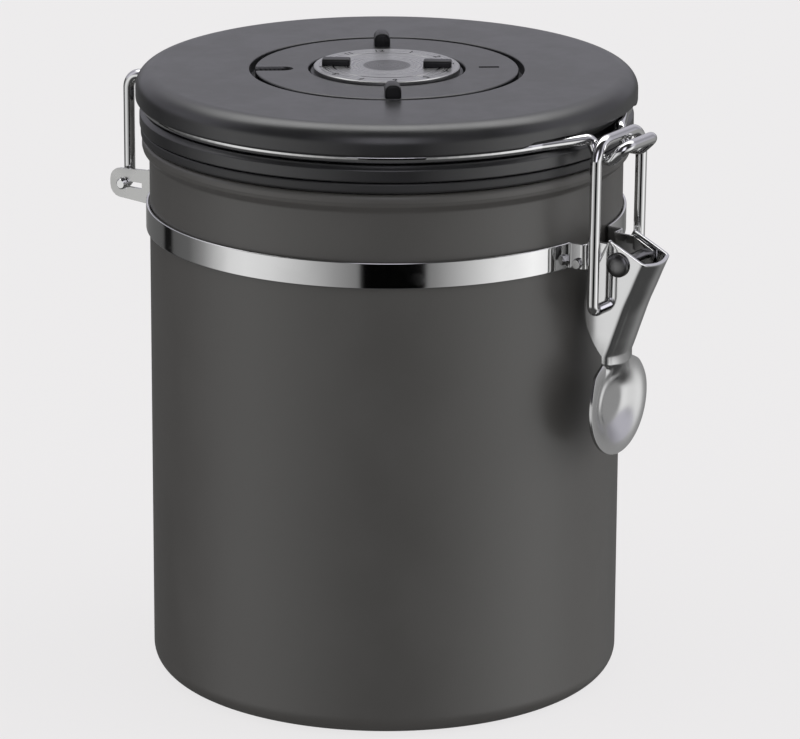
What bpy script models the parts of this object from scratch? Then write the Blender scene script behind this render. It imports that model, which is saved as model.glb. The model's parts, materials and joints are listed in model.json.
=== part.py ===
"""Round food canister: steel body, clamp band, toggle latch, wire-hinged lid and a date dial in the lid.

Metres, +Z up. The origin is the centre of the base. The latch is at -Y and the hinge at +Y.
"""
import math

import bmesh
import bpy
import numpy as np
from mathutils import Matrix

# Gaps
SEAT_GAP = 0.0003           # between two pieces that rest on one another
RUN_GAP = 0.0003            # between a turning piece and its seat
HOLE_PLAY = 0.0002          # round a pin in its hole, on the radius

# Body
BODY_RADIUS = 0.0625
BODY_HEIGHT = 0.1460
BODY_WALL = 0.0009
BASE_ROUND = 0.0055
RIM_STEP = 0.0019           # rolled bead beyond the wall
RIM_BEAD = 0.0028           # height of the bead
RIM_FLARE = 0.0026          # height of the flare below the bead

# Lid
LID_OVERHANG = 0.0035       # disc beyond the body wall
COLLAR_OVERHANG = 0.0025
GASKET_OVERHANG = 0.0022
GASKET_HEIGHT = 0.0027
GASKET_LIP = 0.0011         # thin inner part of the gasket
COLLAR_HEIGHT = 0.0043
COLLAR_CHAMFER = 0.0011
DISC_HEIGHT = 0.0063
DISC_TOP_ROUND = 0.0040
DISC_LOW_ROUND = 0.0018
SKIRT_WALL = 0.0026
DISC_PLATE = 0.0028         # thickness of the disc outside the ring recess
FLOOR_PLATE = 0.0024        # thickness of the recess floor
RECESS_DEPTH = 0.0030

# Liner under the lid
LINER_WALL = 0.0016
LINER_FLANGE = 0.0010
LINER_FLANGE_INSET = 0.0023  # flange inside the body wall
LINER_TOP_INSET = 0.0053
LINER_LOW_INSET = 0.0100
LINER_DEPTH = 0.0058
POST_COUNT = 3
POST_CIRCLE = 0.0450
POST_RADIUS = 0.0034
SCREW_SHANK = 0.0012        # radius
SCREW_LENGTH = 0.0090
SCREW_HEAD = 0.0026         # radius
SCREW_HEAD_HEIGHT = 0.0014

# Date ring and dial
RING_RADIUS = 0.0346
RING_GROOVE = 0.0015        # groove between the ring and the lid
RING_LIP = 0.0008           # thin inner lip that the dial holds down
RING_LIP_REACH = 0.0031
RING_TURN = math.radians(-144.0)
NOTCH_WIDTH = 0.0046
NOTCH_LENGTH = 0.0100
NOTCH_POINT = 0.0030
NOTCH_DEPTH = 0.0017
DIAL_RADIUS = 0.0192
DIAL_GROOVE = 0.0014        # groove between the dial plate and the ring
DIAL_PLATE = 0.0011
DIAL_PROUD = 0.0007         # plate above the lid's top
DIAL_FLANGE = 0.0006
DIAL_FLANGE_EDGE = 0.0005   # gap between the flange and the ring
DIAL_TURN = math.radians(-60.5)
SPINDLE_RADIUS = 0.0025
RING_GRIP = (0.0060, 0.0042, 0.0031)    # radial, across, high
RING_GRIP_EDGE = 0.0003                 # front grip, from the ring's edge
REAR_GRIP_EDGE = 0.0040                 # rear grip, from the ring's edge
DIAL_GRIP = (0.0074, 0.0038, 0.0014)
DIAL_GRIP_EDGE = 0.0022                 # from the dial plate's edge
RING_GRIP_ROUND = 0.0018
DIAL_GRIP_ROUND = 0.0007
GRIP_FOOT_ROUND = 0.0003
WASHER_RADIUS = 0.0048
WASHER_HEIGHT = 0.0008

# Wire hoop on the lid
HOOP_WIRE = 0.0030          # diameter
HOOP_PLAY = 0.0004          # above and below the wire in its groove
HOOP_INSET = 0.0016         # ring of wire inside the collar's edge
LEG_SPREAD = 0.0145         # hinge legs each side of the middle
LEG_BEND = 0.0040
HOOK_BEND = 0.0022
HOOK_PROUD = 0.0015         # wire end beyond the bracket's ear
ARM_SPREAD = 0.0072         # nose arms each side of the middle
ARM_LEAVE = 0.0210          # where the wire leaves the groove, each side of the middle
ARM_EXIT = 0.0019           # arm's shoulder beyond the collar
DIP_NEAR = 0.0040           # dip under the link, beyond the collar
DIP_FAR = 0.0080
DIP_DROP = 0.0049           # below the groove ring
NOSE_REACH = 0.0122
NOSE_DROP = 0.0009
ARM_BEND = 0.0020
NOSE_BEND = 0.0026

# Clamp band
BAND_DROP = 0.0179          # rim's top to band's top
BAND_HEIGHT = 0.0068
BAND_SHEET = 0.0007
FLANGE_OUT = 0.0096         # bolt flange, each side of the middle
FLANGE_IN = 0.0052          # rivet flange, each side of the middle
FLANGE_JOG = 0.0044         # jog between them, beyond the body wall
FLANGE_PAST_RIVET = 0.0037
FLANGE_BEND = 0.0009
FLANGE_SLOPE = 0.0024       # where the rivet flange's top starts to slope, inside the rivet
FLANGE_TIP = 0.0016         # top of the rivet flange's tip, above the rivet
BOLT_REACH = 0.0028         # bolt beyond the body wall
BOLT_DROP = 0.0018          # bolt below the band's middle
BOLT_RADIUS = 0.00075
BOLT_HEAD = 0.0014          # radius
BOLT_HEAD_HEIGHT = 0.0013
BOLT_PAST_NUT = 0.0004

# Latch lever, link and rivet
RIVET_REACH = 0.01274       # rivet beyond the body wall
RIVET_DROP = 0.0014         # rivet below the band's middle
RIVET_RADIUS = 0.0014
RIVET_HEAD = 0.0032
RIVET_DOME = 0.0011
LEVER_SHEET = 0.0009
EAR_HALF = 0.0063           # lever's ears each side of the middle, at mid-sheet
WEB_CORNER = 0.0013
WEB_CROWN = 0.0010
PAD_RADIUS = 0.0140
PAD_DROP = 0.0387           # pad's middle below the rivet
PAD_INSET = 0.0032          # pad's rim inside the rivet
PAD_DISH = 0.0030
PAD_LAST_ROW = math.radians(172)    # angle of the pad's last row, down from its top
NECK_BLEND = math.radians(55)       # angle over which the ears' depth turns into the pad's
NECK_SPREAD = math.radians(26)      # angle over which the channel's width turns into the pad's
LINK_WIRE = 0.0030          # diameter
LINK_SPREAD = 0.0114        # legs each side of the middle
LINK_BEND = 0.0055
LINK_HOOK_BEND = 0.0022
LINK_HOOK_IN = 0.0014       # wire end inside the ear
LINK_IN = 0.0046            # link's pivot inside the rivet
LINK_DOWN = 0.0122          # and below it
LINK_LIFT = 0.0019          # crossbar clear of the nose arms

# Hinge bracket
HINGE_REACH = 0.0108        # hinge axis beyond the body wall
HINGE_RISE = 0.0008         # above the band's middle
BRACKET_SHEET = 0.0009
BRACKET_HEIGHT = 0.0110
BRACKET_BEND = 0.0014
EAR_PLAY = 0.0006           # between a hinge leg and its ear
EAR_HEIGHT = 0.0076
EAR_PAST_PIN = 0.0044
EAR_ROOT = 0.0030           # full-height part of the bracket, beyond the body wall
EAR_TIP_ROUND = 0.85        # tip's corner radius as a share of half the ear's height
EAR_ROOT_ROUND = 0.0004
EAR_EDGE_ROUND = 0.0002
SLOT_HEIGHT = 0.0016
SLOT_LENGTH = 0.0046
BRACKET_RIVET_ANGLE = math.radians(9.0)
BRACKET_RIVET_RADIUS = 0.0010
BRACKET_RIVET_HEAD = 0.0022
BRACKET_RIVET_DOME = 0.0011

# Facets
TURN_STEPS = 60
SMALL_STEPS = 24
BEND_STEPS = 4
WIRE_SIDES = 2
CHANNEL_ROWS = 11
PAD_ROWS = 13

# Lever's ear seen from the side, as steps outward and up from the rivet: inner edge, then outer edge
EAR_STATIONS = (0.0, 0.15, 0.30, 0.50, 0.65, 0.80, 0.92, 1.0)
EAR_INNER = ((-0.0029, 0.0060), (-0.0056, 0.0010), (-0.0078, -0.0034), (-0.0095, -0.0090),
             (-0.0100, -0.0130), (-0.0092, -0.0180), (-0.0068, -0.0224), (-0.0044, -0.0252))
EAR_OUTER = ((0.0076, 0.0008), (0.0059, -0.0030), (0.0043, -0.0068), (0.0021, -0.0118),
             (0.0006, -0.0159), (-0.0008, -0.0198), (-0.0019, -0.0229), (-0.0029, -0.0255))

# Levels
GASKET_BOTTOM = BODY_HEIGHT + SEAT_GAP
GASKET_TOP = GASKET_BOTTOM + GASKET_HEIGHT
COLLAR_BOTTOM = GASKET_TOP + SEAT_GAP
COLLAR_TOP = COLLAR_BOTTOM + COLLAR_HEIGHT
DISC_BOTTOM = COLLAR_TOP + HOOP_WIRE + 2 * HOOP_PLAY
HOOP_LEVEL = (COLLAR_TOP + DISC_BOTTOM) / 2
LID_TOP = DISC_BOTTOM + DISC_HEIGHT
RECESS_FLOOR = LID_TOP - RECESS_DEPTH
FLOOR_UNDER = RECESS_FLOOR - FLOOR_PLATE
DISC_UNDER = LID_TOP - DISC_PLATE
FLANGE_TOP = GASKET_TOP - GASKET_LIP - SEAT_GAP
LINER_LOW = FLANGE_TOP - LINER_FLANGE - LINER_DEPTH
LINER_FLOOR = LINER_LOW + LINER_WALL
RING_BOTTOM = RECESS_FLOOR + RUN_GAP
RING_LIP_TOP = RING_BOTTOM + RING_LIP
DIAL_FLANGE_LOW = RING_LIP_TOP + RUN_GAP
DIAL_FLANGE_TOP = DIAL_FLANGE_LOW + DIAL_FLANGE
PLATE_LOW = DIAL_FLANGE_TOP + SEAT_GAP
PLATE_TOP = LID_TOP + DIAL_PROUD
SPINDLE_LOW = FLOOR_UNDER - RUN_GAP
BAND_TOP = BODY_HEIGHT - BAND_DROP
BAND_MIDDLE = BAND_TOP - BAND_HEIGHT / 2
RIVET_LEVEL = BAND_MIDDLE - RIVET_DROP
HINGE_LEVEL = BAND_MIDDLE + HINGE_RISE
DIP_LEVEL = HOOP_LEVEL - DIP_DROP

# Radii and reaches from the body's axis
LID_RADIUS = BODY_RADIUS + LID_OVERHANG
COLLAR_RADIUS = BODY_RADIUS + COLLAR_OVERHANG
HOOP_RADIUS = COLLAR_RADIUS - HOOP_INSET
GROOVE_RADIUS = HOOP_RADIUS - HOOP_WIRE / 2 - SEAT_GAP
SKIRT_INNER = GROOVE_RADIUS - SKIRT_WALL
LINER_FLANGE_RADIUS = BODY_RADIUS - LINER_FLANGE_INSET
RING_INNER = DIAL_RADIUS + DIAL_GROOVE
DIAL_GRIP_CENTRE = DIAL_RADIUS - DIAL_GRIP_EDGE - DIAL_GRIP[0] / 2
BAND_RADIUS = BODY_RADIUS + SEAT_GAP + BAND_SHEET / 2
RIVET_OUT = BODY_RADIUS + RIVET_REACH
BRACKET_RADIUS = BODY_RADIUS + SEAT_GAP + BAND_SHEET + SEAT_GAP + BRACKET_SHEET / 2
HINGE_OUT = BODY_RADIUS + HINGE_REACH
HINGE_EAR = LEG_SPREAD + HOOP_WIRE / 2 + EAR_PLAY + BRACKET_SHEET / 2
LINK_PIVOT_OUT = RIVET_OUT - LINK_IN
LINK_PIVOT_LEVEL = RIVET_LEVEL - LINK_DOWN
CROSSBAR_OUT = COLLAR_RADIUS + (DIP_NEAR + DIP_FAR) / 2
CROSSBAR_LEVEL = DIP_LEVEL + HOOP_WIRE / 2 + LINK_WIRE / 2 + LINK_LIFT

# Looks: colour, roughness, metallic
COATED = ((0.060, 0.060, 0.058), 0.55, 0.0)
MOULDED = ((0.050, 0.050, 0.052), 0.50, 0.0)
BLACK = ((0.012, 0.012, 0.013), 0.45, 0.0)
SILICONE = ((0.030, 0.030, 0.031), 0.60, 0.0)
POLISHED = ((0.80, 0.80, 0.80), 0.10, 1.0)
SATIN = ((0.66, 0.66, 0.65), 0.28, 1.0)
BRUSHED = ((0.62, 0.62, 0.61), 0.35, 1.0)
DARK_STEEL = ((0.22, 0.22, 0.22), 0.35, 1.0)


def clear_scene():
    """Remove every object that the scene starts with."""
    for old in list(bpy.data.objects):
        bpy.data.objects.remove(old, do_unlink=True)


def new_collection(name):
    """A collection of that name in the scene."""
    made = bpy.data.collections.new(name)
    bpy.context.scene.collection.children.link(made)
    return made


clear_scene()
PARTS = new_collection("food_canister")
CUTTERS = new_collection("cutters")


def paint(name, look):
    """A plain material for one piece."""
    colour, roughness, metallic = look
    made = bpy.data.materials.new(name + "_look")
    made.use_nodes = True
    shader = made.node_tree.nodes["Principled BSDF"]
    shader.inputs["Base Color"].default_value = (*colour, 1.0)
    shader.inputs["Roughness"].default_value = roughness
    shader.inputs["Metallic"].default_value = metallic
    made.diffuse_color = (*colour, 1.0)
    return made


def add_empty(name, place, parent=None):
    """An empty on a joint's axis, at a place in the object's frame."""
    empty = bpy.data.objects.new(name, None)
    empty["place"] = place
    empty.parent = parent
    start = parent["place"] if parent else (0.0, 0.0, 0.0)
    empty.location = [a - b for a, b in zip(place, start)]
    PARTS.objects.link(empty)
    return empty


def add_part(name, data, look, parent=None):
    """One named piece whose data is in the object's frame, hung on its joint's empty."""
    made = bpy.data.objects.new(name, data)
    data.materials.append(paint(name, look))
    if parent:
        made.parent = parent
        made.location = [-a for a in parent["place"]]
    PARTS.objects.link(made)
    return made


def add_cutter(name, mesh):
    """A mesh that only cuts."""
    made = bpy.data.objects.new(name, mesh)
    made.hide_render = True
    made.display_type = 'WIRE'
    CUTTERS.objects.link(made)
    return made


def combine(piece, cutter, operation='DIFFERENCE'):
    """Cut a piece with another mesh, or join or keep what they share."""
    modifier = piece.modifiers.new(cutter.name, 'BOOLEAN')
    modifier.operation = operation
    modifier.solver = 'EXACT'
    modifier.object = cutter


def smooth(mesh):
    """Round faces shade smooth up to a 35 degree edge."""
    mesh.shade_smooth()
    mesh.set_sharp_from_angle(angle=math.radians(35))


def arc(radius_at, level_at, radius, start, end, steps):
    """Points of a profile's arc, angles in degrees from outward, towards up."""
    angles = [math.radians(start + (end - start) * i / steps) for i in range(steps + 1)]
    return [(radius_at + radius * math.cos(a), level_at + radius * math.sin(a)) for a in angles]


def turned(name, profile, look, parent=None, steps=TURN_STEPS):
    """A turned piece from its profile, which runs down the outer side; a ring's profile closes."""
    mesh = bpy.data.meshes.new(name)
    shape = bmesh.new()
    corners = [shape.verts.new((radius, 0.0, level)) for radius, level in profile]
    for first, second in zip(corners, corners[1:]):
        shape.edges.new((first, second))
    if profile[0][0] > 1e-9:
        shape.edges.new((corners[-1], corners[0]))
    shape.to_mesh(mesh)
    shape.free()
    made = add_part(name, mesh, look, parent)
    screw = made.modifiers.new("Turn", 'SCREW')
    screw.steps = steps
    screw.render_steps = steps
    screw.use_merge_vertices = True
    screw.merge_threshold = 0.00001
    return made


def cylinder(name, radius, length, axis, centre, segments=SMALL_STEPS):
    """A closed cylinder mesh along an axis, about a centre."""
    mesh = bpy.data.meshes.new(name)
    shape = bmesh.new()
    turn = {'X': Matrix.Rotation(math.pi / 2, 4, 'Y'), 'Y': Matrix.Rotation(math.pi / 2, 4, 'X'),
            'Z': Matrix.Identity(4)}[axis]
    bmesh.ops.create_cone(shape, cap_ends=True, segments=segments, radius1=radius, radius2=radius,
                          depth=length, matrix=Matrix.Translation(centre) @ turn)
    shape.to_mesh(mesh)
    shape.free()
    smooth(mesh)
    return mesh


def rounded(points, radii, steps=BEND_STEPS):
    """A path through points whose inner corners are arcs of the given radii."""
    corners = [np.array(point, dtype=float) for point in points]
    path = [corners[0]]
    for before, corner, after, radius in zip(corners, corners[1:], corners[2:], radii):
        back = (before - corner) / np.linalg.norm(before - corner)
        ahead = (after - corner) / np.linalg.norm(after - corner)
        half = math.acos(max(-1.0, min(1.0, float(back @ ahead)))) / 2
        inward = (back + ahead) / np.linalg.norm(back + ahead)
        centre = corner + inward * radius / math.sin(half)
        start = corner + back * radius / math.tan(half) - centre
        end = corner + ahead * radius / math.tan(half) - centre
        sweep = math.pi - 2 * half
        for i in range(steps + 1):
            angle = sweep * i / steps
            path.append(centre + (start * math.sin(sweep - angle) + end * math.sin(angle)) / math.sin(sweep))
    path.append(corners[-1])
    return path


def wire(name, path, diameter, look, parent):
    """A round wire along a path."""
    curve = bpy.data.curves.new(name, 'CURVE')
    curve.dimensions = '3D'
    curve.bevel_depth = diameter / 2
    curve.bevel_resolution = WIRE_SIDES
    curve.use_fill_caps = True
    spline = curve.splines.new('POLY')
    spline.points.add(len(path) - 1)
    for point, (x, y, z) in zip(spline.points, path):
        point.co = (x, y, z, 1.0)
    return add_part(name, curve, look, parent)


def ribbon(path, thickness):
    """Outline of a bent strip: its path moved half the thickness to either side."""
    points = np.array(path, dtype=float)
    ahead = np.diff(points, axis=0)
    ahead /= np.linalg.norm(ahead, axis=1)[:, None]
    across = np.stack([-ahead[:, 1], ahead[:, 0]], axis=1)
    before = np.vstack([across[:1], across])
    after = np.vstack([across, across[-1:]])
    shift = (before + after) / (1 + (before * after).sum(axis=1))[:, None] * thickness / 2
    return [tuple(p) for p in points + shift] + [tuple(p) for p in (points - shift)[::-1]]


def extruded(name, outline, depth, frame):
    """A closed mesh from a flat outline, drawn out half its depth to either side, then set in a frame."""
    curve = bpy.data.curves.new(name, 'CURVE')
    curve.dimensions = '2D'
    curve.fill_mode = 'BOTH'
    curve.extrude = depth / 2
    spline = curve.splines.new('POLY')
    spline.points.add(len(outline) - 1)
    for point, (x, y) in zip(spline.points, outline):
        point.co = (x, y, 0.0, 1.0)
    spline.use_cyclic_u = True
    shape = bpy.data.objects.new(name + "_outline", curve)
    CUTTERS.objects.link(shape)
    depsgraph = bpy.context.evaluated_depsgraph_get()
    mesh = bpy.data.meshes.new_from_object(shape.evaluated_get(depsgraph))
    bpy.data.objects.remove(shape, do_unlink=True)
    weld = bmesh.new()
    weld.from_mesh(mesh)
    bmesh.ops.remove_doubles(weld, verts=weld.verts, dist=0.000001)
    bmesh.ops.recalc_face_normals(weld, faces=weld.faces)
    weld.to_mesh(mesh)
    weld.free()
    mesh.transform(frame)
    return mesh


# Frame of an outline drawn outward along Y and up Z, drawn out across X
SIDE_FRAME = Matrix(((0, 0, 1, 0), (1, 0, 0, 0), (0, 1, 0, 0), (0, 0, 0, 1)))


def plan_frame(level):
    """Frame of an outline drawn in plan, about a level."""
    return Matrix.Translation((0.0, 0.0, level))


def mirrored(half):
    """A whole path from the half on +X that starts on the middle plane."""
    other = [np.array((-p[0], *p[1:])) for p in half[:0:-1]]
    return other + list(half)


def ring_arc(radius, start, end, level, step=math.radians(7.5)):
    """Points of a circle about the body's axis, by angle from the front towards +X."""
    count = max(2, int(math.ceil(abs(end - start) / step)))
    angles = [start + (end - start) * i / count for i in range(count + 1)]
    return [(radius * math.sin(a), -radius * math.cos(a), level) for a in angles]


def build_body():
    """Steel body: floor, straight wall, flare and rolled bead in one profile from inside to outside."""
    rim = BODY_RADIUS + RIM_STEP
    inner = BODY_RADIUS - BODY_WALL
    flare_low = BODY_HEIGHT - RIM_BEAD - RIM_FLARE
    bead_low = BODY_HEIGHT - RIM_BEAD
    mouth = inner + RIM_STEP / 4
    corner_inside = BASE_ROUND - BODY_WALL
    bead_round = RIM_BEAD / 2.4
    profile = [(0.0, BODY_WALL)]
    profile += arc(inner - corner_inside, BASE_ROUND, corner_inside, -90, 0, 4)
    profile += [(inner, flare_low), (mouth, bead_low), (mouth, BODY_HEIGHT - bead_round / 2)]
    profile += [(mouth + bead_round / 2, BODY_HEIGHT)]
    profile += arc(rim - bead_round, BODY_HEIGHT - bead_round, bead_round, 90, -20, 4)
    neck = rim - bead_round / 6
    for share in (0.0, 0.33, 0.66, 1.0):
        ease = share * share * (3 - 2 * share)
        profile.append((neck - (neck - BODY_RADIUS) * ease, bead_low - RIM_FLARE * share))
    profile += arc(BODY_RADIUS - BASE_ROUND, BASE_ROUND, BASE_ROUND, 0, -90, 6)
    profile.append((0.0, 0.0))
    turned("canister_body", profile, COATED)


def band_path():
    """The band in plan: rivet flange, jog, bolt flange, right round the body and back."""
    jog = BODY_RADIUS + FLANGE_JOG
    leave = math.asin(FLANGE_OUT / BAND_RADIUS)
    foot = BAND_RADIUS * math.cos(leave)
    ends = [(FLANGE_IN, -RIVET_OUT - FLANGE_PAST_RIVET), (FLANGE_IN, -jog), (FLANGE_OUT, -jog),
            (FLANGE_OUT, -foot)]
    past = leave + 2 * FLANGE_BEND / BAND_RADIUS
    turn_on = (BAND_RADIUS * math.sin(past), -BAND_RADIUS * math.cos(past))
    bent = rounded(ends + [turn_on], (FLANGE_BEND, FLANGE_BEND, FLANGE_BEND))
    sweep = ring_arc(BAND_RADIUS, past, math.pi, 0.0, math.radians(5))[1:]
    half = [tuple(p) for p in bent] + [p[:2] for p in sweep]
    return half + [(-x, y) for x, y in half[-2::-1]]


def flange_slope():
    """Side view of the cut above the rivet flange: a triangle on the line that its top slopes along."""
    start = np.array((FLANGE_SLOPE - RIVET_OUT, BAND_TOP))
    tip = np.array((-RIVET_OUT - FLANGE_PAST_RIVET, RIVET_LEVEL + FLANGE_TIP))
    past = (tip - start) / np.linalg.norm(tip - start) * BAND_HEIGHT
    high, low = start - past, tip + past
    return [tuple(high), tuple(low), (low[0], high[1])]


def build_band():
    """Clamp band with its flanges, the bolt and nut, and the lever's rivet."""
    mesh = extruded("clamp_band", ribbon(band_path(), BAND_SHEET), BAND_HEIGHT, plan_frame(BAND_MIDDLE))
    band = add_part("clamp_band", mesh, POLISHED)
    bolt_at = (0.0, -BODY_RADIUS - BOLT_REACH, BAND_MIDDLE - BOLT_DROP)
    rivet_at = (0.0, -RIVET_OUT, RIVET_LEVEL)
    bolt_hole = cylinder("bolt_hole", BOLT_RADIUS + HOLE_PLAY, 4 * FLANGE_OUT, 'X', bolt_at)
    combine(band, add_cutter("bolt_hole", bolt_hole))
    rivet_hole = cylinder("rivet_hole", RIVET_RADIUS + HOLE_PLAY, 4 * FLANGE_OUT, 'X', rivet_at)
    combine(band, add_cutter("band_rivet_hole", rivet_hole))
    slope = extruded("flange_slope", flange_slope(), 4 * FLANGE_IN, SIDE_FRAME)
    combine(band, add_cutter("flange_slope", slope))
    for side in (-1, 1):
        combine(band, add_cutter("bracket_rivet_hole", bracket_rivet_hole(side)))

    seat = FLANGE_OUT + BAND_SHEET / 2 + SEAT_GAP
    head = cylinder("band_bolt", BOLT_HEAD, BOLT_HEAD_HEIGHT, 'X',
                    (-seat - BOLT_HEAD_HEIGHT / 2, bolt_at[1], bolt_at[2]), 6)
    bolt = add_part("band_bolt", head, SATIN)
    tip = seat + BOLT_HEAD_HEIGHT + BOLT_PAST_NUT
    shank_start = -seat - BOLT_HEAD_HEIGHT / 2
    shank = cylinder("bolt_shank", BOLT_RADIUS, tip - shank_start, 'X',
                     ((tip + shank_start) / 2, bolt_at[1], bolt_at[2]))
    combine(bolt, add_cutter("bolt_shank", shank), 'UNION')
    nut = add_part("band_nut", cylinder("band_nut", BOLT_HEAD, BOLT_HEAD_HEIGHT, 'X',
                                        (seat + BOLT_HEAD_HEIGHT / 2, bolt_at[1], bolt_at[2]), 6), SATIN)
    nut_bore = cylinder("nut_bore", BOLT_RADIUS + HOLE_PLAY, 4 * BOLT_HEAD_HEIGHT, 'X',
                        (seat + BOLT_HEAD_HEIGHT / 2, bolt_at[1], bolt_at[2]))
    combine(nut, add_cutter("nut_bore", nut_bore))

    half = EAR_HALF + LEVER_SHEET / 2 + RUN_GAP
    profile = [(0.0, half + RIVET_DOME)]
    profile += dome(RIVET_HEAD, RIVET_DOME, half)
    profile += [(RIVET_RADIUS, half), (RIVET_RADIUS, -half)]
    profile += [(radius, -level) for radius, level in reversed(dome(RIVET_HEAD, RIVET_DOME, half))]
    profile.append((0.0, -half - RIVET_DOME))
    rivet = turned("lever_rivet", profile, DARK_STEEL, steps=SMALL_STEPS)
    rivet.location = rivet_at
    rivet.rotation_euler = (0.0, math.pi / 2, 0.0)


def dome(radius, height, foot):
    """Profile of a rivet's dome from near its top down to its edge, above a foot level."""
    angles = [math.radians(a) for a in (60, 35, 12, 0)]
    return [(radius * math.cos(a), foot + height * math.sin(a)) for a in angles]


def bracket_rivet_hole(side):
    """Cutter for one bracket rivet, square to the band."""
    length = 8 * BRACKET_SHEET
    mesh = cylinder("bracket_rivet_hole", BRACKET_RIVET_RADIUS + HOLE_PLAY, length, 'Y',
                    (0.0, BRACKET_RADIUS, BAND_MIDDLE))
    mesh.transform(Matrix.Rotation(-side * BRACKET_RIVET_ANGLE, 4, 'Z'))
    return mesh


def build_bracket():
    """Hinge bracket: one strip bent into two ears, trimmed to the ears' side view, with its rivets."""
    foot = math.sqrt(BRACKET_RADIUS ** 2 - HINGE_EAR ** 2)
    tip = HINGE_OUT + EAR_PAST_PIN
    edge = math.asin(HINGE_EAR / BRACKET_RADIUS)
    past = edge - 2.2 * BRACKET_BEND / BRACKET_RADIUS
    turn_on = (BRACKET_RADIUS * math.sin(past), BRACKET_RADIUS * math.cos(past))
    bent = rounded([(HINGE_EAR, tip), (HINGE_EAR, foot), turn_on], (BRACKET_BEND,))
    sweep = ring_arc(BRACKET_RADIUS, math.pi - past, math.pi, 0.0, math.radians(4))[1:]
    half = [tuple(p) for p in bent] + [p[:2] for p in sweep]
    path = half + [(-x, y) for x, y in half[-2::-1]]
    mesh = extruded("hinge_bracket", ribbon(path, BRACKET_SHEET), BRACKET_HEIGHT, plan_frame(BAND_MIDDLE))
    bracket = add_part("hinge_bracket", mesh, SATIN)

    root = BODY_RADIUS + EAR_ROOT
    low = BAND_MIDDLE - BRACKET_HEIGHT
    high = BAND_MIDDLE + BRACKET_HEIGHT
    ear = EAR_HEIGHT / 2
    outline = [(0.0, low), (root, low), (root, HINGE_LEVEL - ear - HINGE_RISE), (tip, HINGE_LEVEL - ear)]
    outline += [(tip, HINGE_LEVEL + ear), (root, HINGE_LEVEL + ear + HINGE_RISE), (root, high), (0.0, high)]
    tip_round = EAR_TIP_ROUND * ear
    outline = rounded(outline, (EAR_EDGE_ROUND, EAR_ROOT_ROUND, tip_round, tip_round, EAR_ROOT_ROUND,
                                EAR_EDGE_ROUND))
    trim = extruded("ear_trim", [tuple(p) for p in outline], 4 * HINGE_EAR, SIDE_FRAME)
    combine(bracket, add_cutter("ear_trim", trim), 'INTERSECT')
    pin_hole = cylinder("hinge_hole", HOOP_WIRE / 2 + HOLE_PLAY, 4 * HINGE_EAR, 'X',
                        (0.0, HINGE_OUT, HINGE_LEVEL))
    combine(bracket, add_cutter("hinge_hole", pin_hole))
    slot_end = HINGE_OUT - HOOP_WIRE / 2 - SLOT_LENGTH
    slot = [(HINGE_OUT, -SLOT_HEIGHT / 2), (HINGE_OUT, SLOT_HEIGHT / 2), (slot_end, SLOT_HEIGHT / 2),
            (slot_end, -SLOT_HEIGHT / 2)]
    slot_mesh = extruded("ear_slot", [(y, z + HINGE_LEVEL) for y, z in slot], 4 * HINGE_EAR, SIDE_FRAME)
    combine(bracket, add_cutter("ear_slot", slot_mesh))

    outside = BRACKET_RADIUS + BRACKET_SHEET / 2 + SEAT_GAP
    inside = BODY_RADIUS + SEAT_GAP
    for side, word in ((-1, "left"), (1, "right")):
        combine(bracket, add_cutter("bracket_rivet_hole", bracket_rivet_hole(side)))
        profile = [(0.0, outside + BRACKET_RIVET_DOME)]
        profile += dome(BRACKET_RIVET_HEAD, BRACKET_RIVET_DOME, outside)
        profile += [(BRACKET_RIVET_RADIUS, outside), (BRACKET_RIVET_RADIUS, inside), (0.0, inside)]
        rivet = turned("bracket_rivet_" + word, profile, SATIN, steps=16)
        rivet.location = (0.0, 0.0, BAND_MIDDLE)
        rivet.rotation_euler = (-math.pi / 2, 0.0, -side * BRACKET_RIVET_ANGLE)


def pad_row(angle, columns):
    """One row of the round thumb pad, at an angle down from its top; dished inward as 1 - rho squared."""
    level = PAD_RADIUS * math.cos(angle)
    across = PAD_RADIUS * math.sin(angle) * np.linspace(1.0, -1.0, columns)
    share = (across ** 2 + level ** 2) / PAD_RADIUS ** 2
    outward = -PAD_INSET - PAD_DISH * (1 - share)
    return np.stack([across, -outward, np.full(columns, level - PAD_DROP)], axis=1)


def channel_row(inner, outer):
    """One row of the lever's channel: ear, rounded corner, crowned web, corner and ear."""
    inner = np.array(inner)
    outer = np.array(outer)
    width = np.linalg.norm(outer - inner)
    ahead = (outer - inner) / width
    flat = width - WEB_CORNER
    reach = [flat * share for share in (0.0, 0.33, 0.66, 1.0)]
    side = [EAR_HALF] * 4
    for angle in (math.radians(30), math.radians(60)):
        reach.append(flat + WEB_CORNER * math.sin(angle))
        side.append(EAR_HALF - WEB_CORNER + WEB_CORNER * math.cos(angle))
    web = EAR_HALF - WEB_CORNER
    reach += [width + WEB_CROWN * (1 - share ** 2) for share in (1.0, 0.5)]
    side += [web, web * 0.5]
    reach = reach + [width + WEB_CROWN] + reach[::-1]
    side = side + [0.0] + [-s for s in side[::-1]]
    points = inner + np.outer(reach, ahead)
    return np.stack([np.array(side), -points[:, 0], points[:, 1]], axis=1)


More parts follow.
